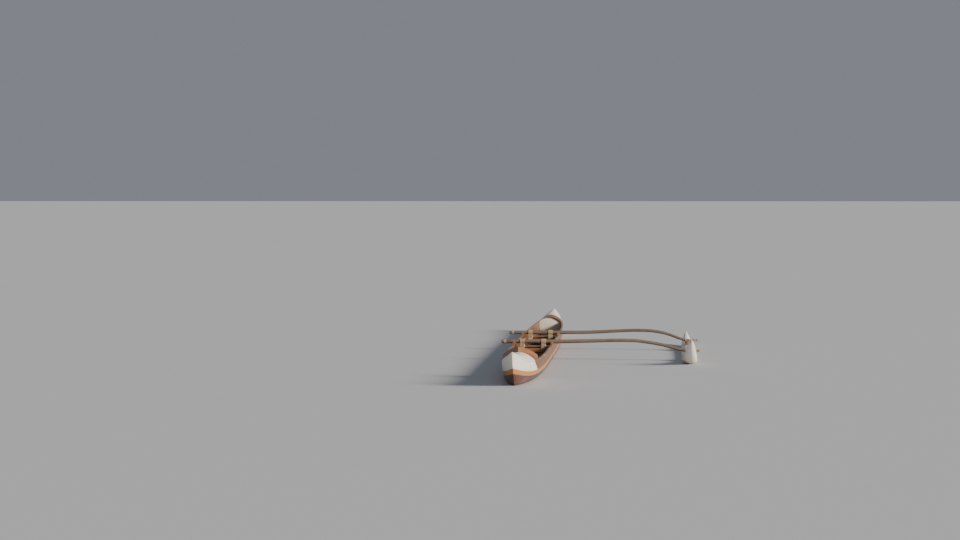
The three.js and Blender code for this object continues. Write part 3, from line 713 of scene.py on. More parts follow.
def named(tree, label, kind="FLOAT"):
    made = addNode(tree, "GeometryNodeInputNamedAttribute", {"Name": label}, data_type=kind)
    return made.outputs["Attribute"]


def circle(tree, given):
    inputs = {"Resolution": given["Ring Points"], "Radius": 1.0}
    return addNode(tree, "GeometryNodeCurvePrimitiveCircle", inputs).outputs[0]


def closeTree(tree, geometry, given, out):
    plain = addNode(tree, "GeometryNodeRealizeInstances", {"Geometry": geometry}).outputs[0]
    coated = addNode(tree, "GeometryNodeSetMaterial", {"Geometry": plain, "Material": given["Material"]})
    tree.links.new(coated.outputs[0], out["Geometry"])


# A laid rope of three strands along a path of edges
ropeForm = {"strands": 3, "groove": 0.30, "twist": 120.0, "bendPoints": 5}


def buildRopeNodes():
    tree, given, out = newNodes("laidRope", [
        ("Bend Radius", "Float", 0.006), ("Rope Radius", "Float", 0.004), ("Lay Length", "Float", 0.026),
        ("Step", "Float", 0.0026), ("Ring Points", "Int", 12), ("Material", "Material"),
    ])
    path = addNode(tree, "GeometryNodeMeshToCurve", {"Mesh": given["Geometry"]}).outputs[0]
    bends = {"Curve": path, "Count": ropeForm["bendPoints"], "Radius": given["Bend Radius"],
             "Limit Radius": True}
    path = addNode(tree, "GeometryNodeFilletCurve", bends, mode="POLY").outputs[0]
    steps = {"Curve": path, "Length": given["Step"]}
    path = addNode(tree, "GeometryNodeResampleCurve", steps, mode="LENGTH").outputs[0]
    along = addNode(tree, "GeometryNodeSplineParameter").outputs["Length"]
    path = store(tree, path, "along", along)
    turn = times(calc("DIVIDE", along, given["Lay Length"]), 2 * math.pi)
    path = addNode(tree, "GeometryNodeSetCurveTilt", {"Curve": path, "Tilt": turn}).outputs[0]
    ring = circle(tree, given)
    where = addNode(tree, "GeometryNodeInputPosition").outputs[0]
    parts = addNode(tree, "ShaderNodeSeparateXYZ", {0: where}).outputs
    angle = calc("ARCTAN2", parts["Y"], parts["X"])
    lobe = calc("ABSOLUTE", calc("COSINE", times(angle, ropeForm["strands"] / 2)))
    lobe = calc("POWER", lobe, 0.6)
    size = plus(times(lobe, ropeForm["groove"]), 1 - ropeForm["groove"])
    # The groove attribute marks the grooves between the strands, where the rope's material paints shade.
    ring = store(tree, ring, "groove", minus(1.0, lobe))
    ring = store(tree, ring, "strandAngle", angle)
    size = times(size, given["Rope Radius"])
    moved = vectorCalc("SCALE", where, size)
    ring = addNode(tree, "GeometryNodeSetPosition", {"Geometry": ring, "Position": moved}).outputs[0]
    profile = {"Curve": path, "Profile Curve": ring, "Fill Caps": True}
    tube = addNode(tree, "GeometryNodeCurveToMesh", profile).outputs[0]
    along = named(tree, "along")
    spun = minus(named(tree, "strandAngle"), times(along, ropeForm["twist"]))
    place = {"X": along, "Y": calc("SINE", spun), "Z": calc("COSINE", spun)}
    place = addNode(tree, "ShaderNodeCombineXYZ", place).outputs[0]
    tube = store(tree, tube, "ropePlace", place, "FLOAT_VECTOR")
    tube = addNode(tree, "GeometryNodeSetShadeSmooth", {"Geometry": tube}).outputs[0]
    closeTree(tree, tube, given, out)
    return tree


# A round timber along a path; each point of the path carries its own rodRadius
pithBeside = (0.03, 0.02)  # metres from the timber's middle


def buildRodNodes():
    tree, given, out = newNodes("roundTimber", [
        ("Ring Points", "Int", 32), ("Lumps", "Float", 0.001), ("Seed", "Float", 0.0),
        ("Material", "Material"),
    ])
    path = addNode(tree, "GeometryNodeMeshToCurve", {"Mesh": given["Geometry"]}).outputs[0]
    path = store(tree, path, "along", addNode(tree, "GeometryNodeSplineParameter").outputs["Length"])
    ring = circle(tree, given)
    where = addNode(tree, "GeometryNodeInputPosition").outputs[0]
    parts = addNode(tree, "ShaderNodeSeparateXYZ", {0: where}).outputs
    ring = store(tree, ring, "ringY", parts["X"])
    ring = store(tree, ring, "ringZ", parts["Y"])
    size = named(tree, "rodRadius")
    profile = {"Curve": path, "Profile Curve": ring, "Scale": size, "Fill Caps": True}
    rod = addNode(tree, "GeometryNodeCurveToMesh", profile).outputs[0]
    y = plus(times(named(tree, "ringY"), size), pithBeside[0])
    z = plus(times(named(tree, "ringZ"), size), pithBeside[1])
    x = plus(named(tree, "along"), given["Seed"])
    place = addNode(tree, "ShaderNodeCombineXYZ", {"X": x, "Y": y, "Z": z}).outputs[0]
    rod = store(tree, rod, "woodPlace", place, "FLOAT_VECTOR")
    bumps = noise(named(tree, "woodPlace", "FLOAT_VECTOR"), (5, 22, 22))
    bumps = times(minus(bumps, 0.5), given["Lumps"])
    normal = addNode(tree, "GeometryNodeInputNormal").outputs[0]
    swell = vectorCalc("SCALE", normal, bumps)
    rod = addNode(tree, "GeometryNodeSetPosition", {"Geometry": rod, "Offset": swell}).outputs[0]
    rod = addNode(tree, "GeometryNodeSetShadeSmooth", {"Geometry": rod}).outputs[0]
    closeTree(tree, rod, given, out)
    return tree


# One fastening at each point, turned to face outwards
def buildFasteningNodes():
    tree, given, out = newNodes("fastenings", [
        ("Shape", "Object"), ("Size Change", "Float", 0.05), ("Seed", "Int", 4), ("Material", "Material"),
    ])
    shape = addNode(tree, "GeometryNodeObjectInfo", {"Object": given["Shape"], "As Instance": True},
                    transform_space="ORIGINAL").outputs["Geometry"]
    facing = named(tree, "facing", "FLOAT_VECTOR")
    facing = addNode(tree, "FunctionNodeAlignRotationToVector", {"Vector": facing}, axis="Z").outputs[0]
    chance = addNode(tree, "FunctionNodeRandomValue", {"Seed": given["Seed"]}, data_type="FLOAT")
    chance.inputs[3].default_value = 2 * math.pi
    spin = {"Axis": (0, 0, 1), "Angle": chance.outputs[1]}
    spin = addNode(tree, "FunctionNodeAxisAngleToRotation", spin).outputs[0]
    turned = addNode(tree, "FunctionNodeRotateRotation", {"Rotation": facing, "Rotate By": spin},
                     rotation_space="LOCAL").outputs[0]
    grow = addNode(tree, "FunctionNodeRandomValue", {"Seed": given["Seed"]}, data_type="FLOAT")
    tree.links.new(minus(1.0, given["Size Change"]), grow.inputs[2])
    tree.links.new(plus(1.0, given["Size Change"]), grow.inputs[3])
    placed = {"Points": given["Geometry"], "Instance": shape, "Rotation": turned, "Scale": grow.outputs[1]}
    placed = addNode(tree, "GeometryNodeInstanceOnPoints", placed).outputs[0]
    closeTree(tree, placed, given, out)
    return tree


ropeNodes = buildRopeNodes()
rodNodes = buildRodNodes()
fasteningNodes = buildFasteningNodes()


def applyNodes(made, tree, values):
    modifier = made.modifiers.new("shape", "NODES")
    modifier.node_group = tree
    for socket in tree.interface.items_tree:
        if socket.item_type == "SOCKET" and socket.in_out == "INPUT" and socket.name in values:
            modifier[socket.identifier] = values[socket.name]
    bpy.context.view_layer.update()
    seen = bpy.context.evaluated_depsgraph_get()
    shaped = made.evaluated_get(seen)
    mesh = bpy.data.meshes.new_from_object(shaped, preserve_all_data_layers=True, depsgraph=seen)
    made.modifiers.remove(modifier)
    mesh.name = made.name
    made.data = mesh


def faceOut(made, merge=True):
    mesh = bmesh.new()
    mesh.from_mesh(made.data)
    if merge:
        bmesh.ops.remove_doubles(mesh, verts=mesh.verts, dist=1e-6)
    bmesh.ops.recalc_face_normals(mesh, faces=mesh.faces)
    mesh.to_mesh(made.data)
    mesh.free()


# The pale floor lies at the waterline, with an opening inside the hull's own wall
floorForm = {"reach": 900000, "openTo": 5080, "beyond": 40, "step": 80}
floorLook = {"Base Color": (0.45, 0.463, 0.485, 1), "Roughness": 0.8, "Specular IOR Level": 0.15}


def makeFloor():
    reach, openTo = floorForm["reach"], floorForm["openTo"]
    closed = openTo + floorForm["beyond"]
    middles = [(y, (outside(y, 0) + inside(y, 0)) / 2) for y in spaced(-openTo, openTo, floorForm["step"])]
    rows = [(-reach, 0), (-closed, 0)] + middles + [(closed, 0), (reach, 0)]
    points, faces = [], []
    for y, x in rows:
        points += [(-reach, y, 0), (-x, y, 0), (x, y, 0), (reach, y, 0)]
    for i in range(len(rows) - 1):
        a, b = 4 * i, 4 * i + 4
        faces += [(a, a + 1, b + 1, b), (a + 2, a + 3, b + 3, b + 2)]
    floor = makeObject("paleFloor", points, faces)
    cleanUp(floor)
    for face in floor.data.polygons:
        if face.normal.z < 0:
            face.flip()
    look = bpy.data.materials.new("paleFloor")
    look.use_nodes = True
    shader = look.node_tree.nodes["Principled BSDF"]
    for label, value in floorLook.items():
        shader.inputs[label].default_value = value
    floor.data.materials.append(look)


makeFloor()

lightPlan = {
    "key": {"from": (0.80, -0.46, 0.34), "strength": 7.2, "spread": 16, "color": (1.0, 0.91, 0.81)},
    "fill": {"from": (-0.5, -0.2, 0.85), "strength": 0.14, "spread": 70, "color": (0.86, 0.92, 1.0)},
}
for label, plan in lightPlan.items():
    lamp = bpy.data.lights.new(label, "SUN")
    lamp.energy = plan["strength"]
    lamp.angle = math.radians(plan["spread"])
    lamp.color = plan["color"]
    holder = bpy.data.objects.new(label, lamp)
    holder.rotation_euler = Vector(plan["from"]).to_track_quat("Z", "Y").to_euler()
    bpy.context.scene.collection.objects.link(holder)
studioSky = {"Color": (0.75, 0.80, 0.91, 1), "Strength": 0.29}
sky = bpy.data.worlds.new("studio")
sky.use_nodes = True
for label, value in studioSky.items():
    sky.node_tree.nodes["Background"].inputs[label].default_value = value
bpy.context.scene.world = sky
print("floor and lights set")


# Hull: one carved log from the keel to the seam, fair over its whole length
hullShape = {"stations": 200, "heights": 24, "topEase": 1.0, "tipDepth": 1.5, "crowding": 0.4,
             "offCarving": 12, "grain": (0, 0.02, 0.10)}


def hullEnd(start, stop):
    for _ in range(40):
        middle = (start + stop) / 2
        if seamAt(middle) - rowAt(hullLines, middle)[3] > hullShape["tipDepth"]:
            start = middle
        else:
            stop = middle
    return start


def makeHull():
    bowEnd, sternEnd = hullEnd(-5500, -6050), hullEnd(5500, 6090)
    heights, ease, carved = hullShape["heights"], hullShape["topEase"], shell["carvedTo"]
    places = crowdedEnds(bowEnd, sternEnd, hullShape["stations"], hullShape["crowding"])
    offCarving = hullShape["offCarving"]
    stations = [(y, abs(y) < carved) for y in places if abs(abs(y) - carved) > offCarving]
    stations += [(y, hollow) for y in (-carved, carved) for hollow in (False, True)]
    stations.sort(key=lambda station: (station[0], station[1] == (station[0] < 0)))
    rings, depths = [], []
    for y, hollow in stations:
        seam, keel, roundness = rowAt(hullLines, y)[2:]
        crowding = 0.3 + 0.75 * roundness
        outer = []
        for share in spaced(0, 1, 1 / heights):
            z = keel + (seam - keel) * share**crowding
            outer.append((outside(y, z), z))
        edge = outer[-1][0]
        outer[-1] = (max(edge - ease, 0.2), seam)
        outer.insert(-1, (edge, seam - min(ease, 0.5 * (seam - keel))))
        inner = []
        bottom = keel + shell["floor"]
        for share in spaced(1, 0, 1 / heights):
            if hollow:
                z = bottom + (seam - bottom) * share**crowding
                inner.append((inside(y, z), z))
            else:
                inner.append(((edge - ease - 0.5) * share, seam))
        skin = [(x, y, z) for x, z in reversed(outer)] + [(-x, y, z) for x, z in outer[1:]]
        hollowed = [(-x, y, z) for x, z in inner] + [(x, y, z) for x, z in reversed(inner[:-1])]
        depths += [seam - z for x, y, z in skin] + [1000] * len(hollowed)
        rings.append(skin + hollowed)
    points, faces = loft(rings)
    hull = makeObject("hull", points, faces, [hullWood, carvedWood])
    layer = hull.data.attributes.new("bandDepth", "FLOAT", "POINT")
    layer.data.foreach_set("value", [depth * mm for depth in depths])
    outerCount = 2 * (heights + 2) - 1
    size = len(rings[0])
    for face in hull.data.polygons:
        if len(face.vertices) == 4 and max(v % size for v in face.vertices) >= outerCount:
            face.material_index = 1
    cleanUp(hull, sharpOver=50)
    placeGrain(hull, "y", hullShape["grain"])
    setValue(hull, "rubbed", lambda p: 0)
    settle(hull, "hull_wood", "hull_fore", "hull_middle", "hull_aft")


makeHull()
print("hull carved")


# Where the white paint of the ends stops: on the deck's ridge, along the sheer and down at the seam
paintLines = {"bow": (-4728, -4760, -4320), "stern": (4930, 4960, 4520)}


def markPaintLine(made, end):
    ridge, edge, low = paintLines[end]
    inward = 1 if end == "bow" else -1

    def past(p):
        half, sheer, seam = rowAt(hullLines, p.y)[:3]
        if p.z > sheer:
            line = ridge + (edge - ridge) * min(abs(p.x) / half, 1) ** 2
        else:
            line = low + (edge - low) * (p.z - seam) / (sheer - seam)
        return inward * (p.y - line) * mm

    setValue(made, "varnished", past)


# Strakes and cheeks: planks from the seam to the sheer
strakeShape = {"step": 60, "heights": 8, "ease": 1.0, "endStep": 1.5}


def sidePlank(name, start, stop, side, material):
    ease = strakeShape["ease"]
    rings = []
    for y in easedEnds(start, stop, strakeShape["step"], strakeShape["endStep"]):
        inset = ease if y in (start, stop) else 0
        base = seamAt(y) + gap
        heights = spaced(base, sheerAt(y), (sheerAt(y) - base) / strakeShape["heights"])
        outer = [(outside(y, z) - inset, z) for z in heights]
        outer = [(outer[0][0] - ease, base), (outside(y, base + ease) - inset, base + ease)] + outer[1:]
        inner = [(inside(y, z), z) for z in reversed(heights)]
        rings.append([(side * x, y, z) for x, z in outer + inner])
    return loftPiece(name, rings, material)


def makeStrakes():
    for name, side in sides.items():
        parts = []
        for length, (start, stop) in lengths.items():
            part = sidePlank(f"strake {length}", start, stop, side, strakeWood)
            x, y, z = shiftFor(f"strake {name} {length}")
            placeGrain(part, "y", (x, y - 0.24 * side, z))
            parts.append(part)
        strake = joinPieces(f"{name}_strake", parts)
        settle(strake, "strake_wood", *(f"strake_{name}_{length}" for length in lengths))
        for end, start, stop in (("bow", ends["bowPiece"] + gap, ends["bowDeck"]),
                                 ("stern", ends["sternDeck"], ends["sternPiece"] - gap)):
            cheek = sidePlank(f"{end}_{name}_cheek", start, stop, side, endPaint)
            placeGrain(cheek, "y", shiftFor(f"cheek {end} {name}"))
            markPaintLine(cheek, end)
            settle(cheek, "white_paint", f"{end}_cheek_{name}")


makeStrakes()
print("strakes and cheeks fitted")


# Decks and upswept end pieces
deckForm = {"thickness": 14, "camber": 0.47, "edgeRound": 7, "step": 35, "endEase": 1.2, "across": 14,
            "topPoints": 20}


def deckArch(y, lift):
    half, sheer = rowAt(hullLines, y)[:2]
    high = deckForm["camber"] * half
    shares = spaced(-1, 1, 1 / deckForm["across"])
    return [(share * half, sheer + gap + lift + high * (1 - share**2)) for share in shares]


def roundedDeckTop(y):
    half = breadthAt(y)
    ease = min(deckForm["edgeRound"], 0.45 * half)
    arch = deckArch(y, deckForm["thickness"])
    corner = arch[-1]
    low = (half, corner[1] - ease)
    high = (half - ease, corner[1] + ease * 0.96)
    right = []
    for t in spaced(0, 1, 0.2):
        weights = ((1 - t) ** 2, 2 * t * (1 - t), t**2)
        right.append(tuple(sum(w * v for w, v in zip(weights, line)) for line in zip(low, corner, high)))
    right += [(x, z) for x, z in reversed(arch) if 0.01 < x < half - ease]
    right = evenOut(right, deckForm["topPoints"])
    ridge = (0, arch[len(arch) // 2][1])
    return right + [ridge] + [(-x, z) for x, z in reversed(right)]


def evenOut(line, count):  # more points, until every station has the same number
    while len(line) < count:
        longest = max(range(len(line) - 1), key=lambda i: math.dist(line[i], line[i + 1]))
        a, b = line[longest], line[longest + 1]
        line.insert(longest + 1, ((a[0] + b[0]) / 2, (a[1] + b[1]) / 2))
    return line


def makeDeck(end, start, stop):
    openAt, ease = ends[f"{end}Deck"], deckForm["endEase"]
    rings = []
    for y in easedEnds(start, stop, deckForm["step"], ease):
        sink = ease if y in (start, stop) else 0
        top = [(x, y, z - sink) for x, z in roundedDeckTop(y)]
        half, sheer = rowAt(hullLines, y)[:2]
        under = [(x, y, z) for x, z in deckArch(y, 0)]
        rings.append([(half, y, sheer + gap)] + top + [(-half, y, sheer + gap)] + under[1:-1])
    deck = loftPiece(f"{end}Deck", rings, endPaint)
    placeGrain(deck, "y", shiftFor(f"{end}Deck"))
    setValue(deck, "rubbed", lambda p: 0.35 * fading(p.y - openAt, 60))
    markPaintLine(deck, end)
    settle(deck, "white_paint", f"{end}_deck")


endShape = {"step": 18, "nose": 16, "overSheer": 6, "heights": 9, "jointEase": 1.0}


def makeEndPiece(name, node, start, stop, tip):
    nose = endShape["nose"]
    inward = 1 if tip == start else -1
    places = [y for y in spaced(start, stop, endShape["step"]) if abs(y - tip) > nose]
    places += [tip + inward * nose * share for share in (0, 0.03, 0.12, 0.3, 0.6, 1)]
    rings = []
    for y in sorted(places):
        sheer, seam, keel = rowAt(hullLines, y)[1:4]
        base, over = max(seam + gap, keel), sheer + endShape["overSheer"]
        shrink = max(noseRound(abs(y - tip), nose), 0.02)
        joint = endShape["jointEase"] if y in (start, stop) and y != tip else 0
        heights = spaced(base, over, (over - base) / endShape["heights"])
        right = [(outside(y, min(z, sheer)) * shrink - joint, z) for z in heights]
        top = [(x * shrink, z - joint) for x, z in roundedDeckTop(y)]
        left = [(-x, z) for x, z in reversed(right)]
        rings.append([(x, y, z) for x, z in right + top + left])
    piece = loftPiece(name, rings, endPaint, sharpOver=42)
    placeGrain(piece, "y", shiftFor(name))
    setValue(piece, "rubbed", lambda p: 0.45 * fading(p.y - tip, 90))
    settle(piece, "white_paint", node)


makeDeck("bow", ends["bowPiece"] + gap, ends["bowDeck"])
makeDeck("stern", ends["sternDeck"], ends["sternPiece"] - gap)
makeEndPiece("bowPiece", "bow_end_piece", ends["bowTip"], ends["bowPiece"], ends["bowTip"])
makeEndPiece("sternPiece", "stern_end_piece", ends["sternPiece"], ends["sternTip"], ends["sternTip"])


bulkheadShape = {"thickness": 15, "clear": 2.5, "rows": 14, "ease": 1.5, "inset": 25, "underDeck": 2}


def makeBulkhead(name, node, start):
    rings = []
    for y in (start, start + bulkheadShape["thickness"]):
        sheer, _, keel = rowAt(hullLines, y)[1:4]
        bottom = keel + shell["floor"] + 1
        side = []
        for share in spaced(0, 1, 1 / bulkheadShape["rows"])[1:]:
            z = bottom + (sheer - gap - bottom) * share**1.8
            side.append((inside(y, z) - bulkheadShape["clear"], z))
        arch = deckArch(y, -bulkheadShape["underDeck"])
        roof = [(x, z) for x, z in arch if abs(x) < side[-1][0] - 3]
        ring = [(-x, z) for x, z in reversed(side)] + [(0, bottom + 1)] + side + list(reversed(roof))
        rings.append([(x, y, z) for x, z in ring])
    # The bulkhead's paint is the white paint darkened, as painted shade under the deck.
    panel = loftPiece(name, rings, insidePaintWithPaintedShade, bulkheadShape["ease"], sharpOver=38)
    placeGrain(panel, "x", shiftFor(name))
    setValue(panel, "rubbed", lambda p: 0.25 * max(0, 1 - (p.z + 180) / 120))
    settle(panel, "white_paint", node)


bowInset = bulkheadShape["inset"] + bulkheadShape["thickness"]
makeBulkhead("bowBulkhead", "bow_bulkhead", ends["bowDeck"] - bowInset)
makeBulkhead("sternBulkhead", "stern_bulkhead", ends["sternDeck"] + bulkheadShape["inset"])


# A half-round bead covers the joint under each deck and runs out towards the tip
beadShape = {"radius": 4.6, "sunk": 1.6, "lift": 1.2, "step": 30, "fade": 120, "runOut": 5985, "endClear": 2}


def makeBeads():
    radius, sunk = beadShape["radius"], beadShape["sunk"]
    for end, start in (("bow", ends["bowDeck"]), ("stern", ends["sternDeck"])):
        outward = -1 if end == "bow" else 1
        stop = outward * beadShape["runOut"]
        for name, side in sides.items():
            rings = []
            for y in spaced(start + outward * beadShape["endClear"], stop, beadShape["step"]):
                half, sheer = rowAt(hullLines, y)[:2]
                slim = min(1, 0.2 + abs(stop - y) / beadShape["fade"], 0.5 + abs(start - y) / 12)
                bulge, middle = radius * slim, sheer + beadShape["lift"]
                ring = [(half - sunk, middle - bulge)] + arc(half, middle, bulge, -90, 90, 8)
                ring.append((half - sunk, middle + bulge))
                rings.append([(side * x, y, z) for x, z in ring])
            bead = loftPiece(f"{end}_{name}_bead", rings, endPaint, sharpOver=50)
            placeGrain(bead, "y", shiftFor(f"bead {end} {name}"))
            setValue(bead, "rubbed", lambda p: 0.3)
            markPaintLine(bead, end)
            settle(bead, "white_paint")


makeBeads()

# Splash guard, a raked V on the bow deck
guardShape = {"apex": -4760, "foot": -4345, "depth": 30, "apexHeight": 62, "footHeight": 44, "inset": 6,
              "stations": 30, "rake": 0.25, "sunk": 3, "topRound": (13, 8), "apexRound": 0.04}


def makeGuard():
    shape = guardShape

    def roof(x, y):
        half, sheer = rowAt(hullLines, y)[:2]
        return sheer + deckForm["thickness"] + deckForm["camber"] * half * (1 - (x / half) ** 2)

    reach = breadthAt(shape["foot"]) - shape["inset"]
    wide, tall = shape["topRound"]
    rings = []
    for share in spaced(-1, 1, 1 / shape["stations"]):
        x = share * reach
        front = shape["apex"] + (shape["foot"] - shape["apex"]) * math.hypot(share, shape["apexRound"])
        back = front + shape["depth"]
        height = shape["apexHeight"] + (shape["footHeight"] - shape["apexHeight"]) * abs(share)
        rake = -shape["rake"] * height
        base = roof(x, front)
        middle = (front + back) / 2
        ring = [(x, y, roof(x, y) - shape["sunk"]) for y in (back, front)]
        ring.append((x, front + 0.55 * rake, base + 0.5 * height))
        for across, up in arc(0, 0, 1, 180, 0, 6):
            ring.append((x, middle + rake * 0.95 + wide * across, base + height + tall * (up - 1)))
        ring.append((x, back + 0.45 * rake, base + 0.5 * height))
        rings.append(ring)
    guard = loftPiece("splashGuard", rings, railWood, sharpOver=50)
    run = shape["foot"] - shape["apex"]
    long = math.hypot(reach, run)

    def grain(p):  # each leg of the V is cut with its grain along it
        x, y = abs(p.x), p.y - shape["apex"] * mm
        return (x * reach + y * run) / long, (x * run - y * reach) / long, p.z

    setVector(guard, "woodPlace", grain)
    setValue(guard, "rubbed", lambda p: 0.3 * fading(p.x, 60) if p.z > 330 else 0)
    settle(guard, "varnished_wood", "splash_guard")


makeGuard()
print("decks, end pieces and splash guard fitted")


# Rails, seats and the pieces that carry them
railShape = {"height": 15, "outside": 8, "inside": 4, "round": 5, "step": 50, "endStep": 1.2, "endEase": 0.8}
# rows of wooden plugs on the rail and along the strake's lower edge
plugRows = {"railFrom": 70, "railStep": 176, "fromBoom": 75, "fromScarf": 20, "inboard": 7,
            "strakeFrom": 60, "strakeStep": 152, "overSeam": 16}
plugPoints = []  # place and facing of each wooden plug
screwPoints = []


def roundedBar(x0, x1, z0, z1, ease, steps=3):
    line = []
    for corner, (x, z) in enumerate(((x1, z0), (x1, z1), (x0, z1), (x0, z0))):
        x += ease if x == x0 else -ease
        z += ease if z == z0 else -ease
        line += arc(x, z, ease, 90 * (corner - 1), 90 * corner, steps)
    return line


def strokesAt(y):  # how much the rail is rubbed, most just ahead of each seat
    return max(fading(y - seat + 420, 230) for seat in seatPlaces)


def makeRails():
    for name, side in sides.items():
        parts = []
        for length, (start, stop) in lengths.items():
            rings = []
            for y in easedEnds(start, stop, railShape["step"], railShape["endStep"]):
                half, sheer = rowAt(hullLines, y)[:2]
                pinch = railShape["endEase"] if y in (start, stop) else 0
                x0 = half - shell["wall"] - railShape["inside"] + pinch
                x1 = half + railShape["outside"] - pinch
                top = sheer + gap + railShape["height"] - pinch
                bar = roundedBar(x0, x1, sheer + gap, top, railShape["round"])
                rings.append([(side * x, y, z) for x, z in bar])
            part = loftPiece(f"rail {length}", rings, railWood)
            placeGrain(part, "y", shiftFor(f"rail {name} {length}"))
            parts.append(part)
        rail = joinPieces(f"{name}_rail", parts)
        setValue(rail, "rubbed", lambda p: 0.55 * strokesAt(p.y))
        settle(rail, "varnished_wood", *(f"rail_{name}_{length}" for length in lengths))
        first, last = ends["bowDeck"] + plugRows["railFrom"], ends["sternDeck"] - plugRows["railFrom"]
        for y in spaced(first, last, plugRows["railStep"]):
            offBooms = min(abs(y - place) for place in boomPlaces.values()) > plugRows["fromBoom"]
            if offBooms and min(abs(y - scarf) for scarf in scarfs) > plugRows["fromScarf"]:
                middle = breadthAt(y) - plugRows["inboard"]
                plugPoints.append(((side * middle, y, railTop(y)), (0, 0, 1)))
        first, last = ends["bowDeck"] + plugRows["strakeFrom"], ends["sternDeck"] - plugRows["strakeFrom"]
        for y in spaced(first, last, plugRows["strakeStep"]):
            z = seamAt(y) + plugRows["overSeam"]
            slope = outside(y, z + 4) - outside(y, z - 4)
            plugPoints.append(((side * outside(y, z), y, z), (side * 8, 0, -slope)))


makeRails()

seatShape = {"top": 95, "thickness": 18, "length": 230, "round": 7, "rest": 22, "plugs": 70,
             "endClear": 2, "endEase": 1.2, "worn": 118}
riserShape = {"from": -3200, "to": 3400, "step": 60, "height": 30, "depth": 20, "screwsFrom": -3120,
              "screwsTo": 3320, "screwStep": 280, "fromSeat": 60}


def makeRisers():
    high, deep = riserShape["height"], riserShape["depth"]
    for name, side in sides.items():
        top = seatShape["top"] - seatShape["thickness"] - gap
        foot = top - high
        rings = []
        for y in spaced(riserShape["from"], riserShape["to"], riserShape["step"]):
            face, low = inside(y, top) - 1, inside(y, foot) - 1
            ring = [(low, foot), (face, top), (face - deep + 3, top), (face - deep + 0.9, top - 0.9)]
            ring += [(face - deep, top - 3), (low - deep, foot + 4), (low - deep + 1.2, foot + 1.2)]
            ring.append((low - deep + 4, foot))
            rings.append([(side * x, y, z) for x, z in ring])
        riser = loftPiece(f"{name}_riser", rings, railWood)
        placeGrain(riser, "y", shiftFor(f"riser {name}"))
        settle(riser, "varnished_wood", f"seat_riser_{name}")
        for y in spaced(riserShape["screwsFrom"], riserShape["screwsTo"], riserShape["screwStep"]):
            if min(abs(y - seat) for seat in seatPlaces) > riserShape["fromSeat"]:
                face = (inside(y, top) + inside(y, foot)) / 2 - 1 - deep
                screwPoints.append(((side * face, y, top - high / 2), (-side, 0, 0.05)))


makeRisers()


def makeSeats():
    top, long = seatShape["top"], seatShape["length"] / 2
    bottom = top - seatShape["thickness"]
    for i, middle in enumerate(seatPlaces):
        bar = roundedBar(middle - long, middle + long, bottom, top, seatShape["round"], 4)
        # extra points across the top keep the worn patch smooth
        bar[10:10] = [(y, top) for y in spaced(middle + long - 12, middle - long + 12, 22)]
        rings = []
        for share in spaced(-1, 1, 0.1):
            clear = seatShape["endClear"] + (seatShape["endEase"] if abs(share) == 1 else 0)
            rings.append([(share * (inside(y, bottom) - clear), y, z) for y, z in bar])
        seat = loftPiece(f"seat{i + 1}", rings, railWood, sharpOver=45)
        placeGrain(seat, "x", shiftFor(f"seat {i}"))
        half = inside(middle, bottom)

        def sitting(p):
            across = max(0, 1 - (p.x / (0.75 * half)) ** 2)
            along = max(0, 1 - ((p.y - middle) / seatShape["worn"]) ** 2)
            return 0.62 * across * along if p.z > top - 5 else 0

        setValue(seat, "rubbed", sitting)
        settle(seat, "varnished_wood", f"seat_{i + 1}")
        for side in (-1, 1):
            for dy in (-seatShape["plugs"], seatShape["plugs"]):
                plugPoints.append(((side * (half - seatShape["rest"]), middle + dy, top), (0, 0, 1)))


makeSeats()
print("rails, risers and seats fitted")


# Booms
boomShape = {"ringPoints": 36, "lumps": 0.0022, "step": 14, "endRound": 9, "seat": 8, "lashedAt": 142,
             "restsAt": 251}


def boomBed(name):
    return railTop(boomPlaces[name]) + gap + boomShape["seat"] + boomAmidships


def boomAt(name, x):
    rise, radius = rowAt(boomLines[name], x)
    return boomBed(name) + rise, radius


def makeBoom(name, seed):
    line = boomLines[name]
    first, last = line[0][0], line[-1][0]
    ease = boomShape["endRound"]
    places = spaced(first + ease, last - ease, boomShape["step"])
    for share in (0, 0.02, 0.1, 0.25, 0.5, 0.8):
        places += [first + ease * share, last - ease * share]
    points, radii = [], []
    for x in sorted(places):
        z, radius = boomAt(name, x)
        points.append((x, boomPlaces[name], z))
        rounded = noseRound(min(x - first, last - x), ease)
        radii.append(radius * (0.72 + 0.28 * rounded) * mm)
    boom = makeObject(f"{name}Boom", points, [], edges=inRow(points))
    layer = boom.data.attributes.new("rodRadius", "FLOAT", "POINT")
    layer.data.foreach_set("value", radii)
    applyNodes(boom, rodNodes, {"Ring Points": boomShape["ringPoints"], "Lumps": boomShape["lumps"],
                                "Seed": seed, "Material": boomWood})
    faceOut(boom)

    def chafed(p):  # at the lashings, at the float and on the chocks
        lashed = 0.5 * fading(abs(p.x) - boomShape["lashedAt"], 48)
        seated = 0.35 * fading(abs(p.x) - boomShape["restsAt"], 30)
        return lashed + seated + (0.4 if p.x > floatPlace - 70 else 0)

    setValue(boom, "rubbed", chafed)
    settle(boom, "boom_wood", f"boom_{name}")


makeBoom("front", 0.0)
makeBoom("rear", 7.3)
print("booms bent")


def block(name, low, high, bevel=0):
    points = [(x, y, z) for x in (low[0], high[0]) for y in (low[1], high[1]) for z in (low[2], high[2])]
    faces = [(0, 1, 3, 2), (4, 6, 7, 5), (0, 4, 5, 1), (2, 3, 7, 6), (0, 2, 6, 4), (1, 5, 7, 3)]
    return cleanUp(makeObject(name, points, faces, [railWood]), bevel=bevel, steps=3)


def carve(made, tools):
    for tool in tools:
        modifier = made.modifiers.new("carve", "BOOLEAN")
        modifier.operation = "DIFFERENCE"
        modifier.solver = "EXACT"
        modifier.object = tool
        bpy.context.view_layer.update()
        seen = bpy.context.evaluated_depsgraph_get()
        mesh = bpy.data.meshes.new_from_object(made.evaluated_get(seen), depsgraph=seen)
        made.modifiers.remove(modifier)
        made.data = mesh
        bpy.data.objects.remove(tool)


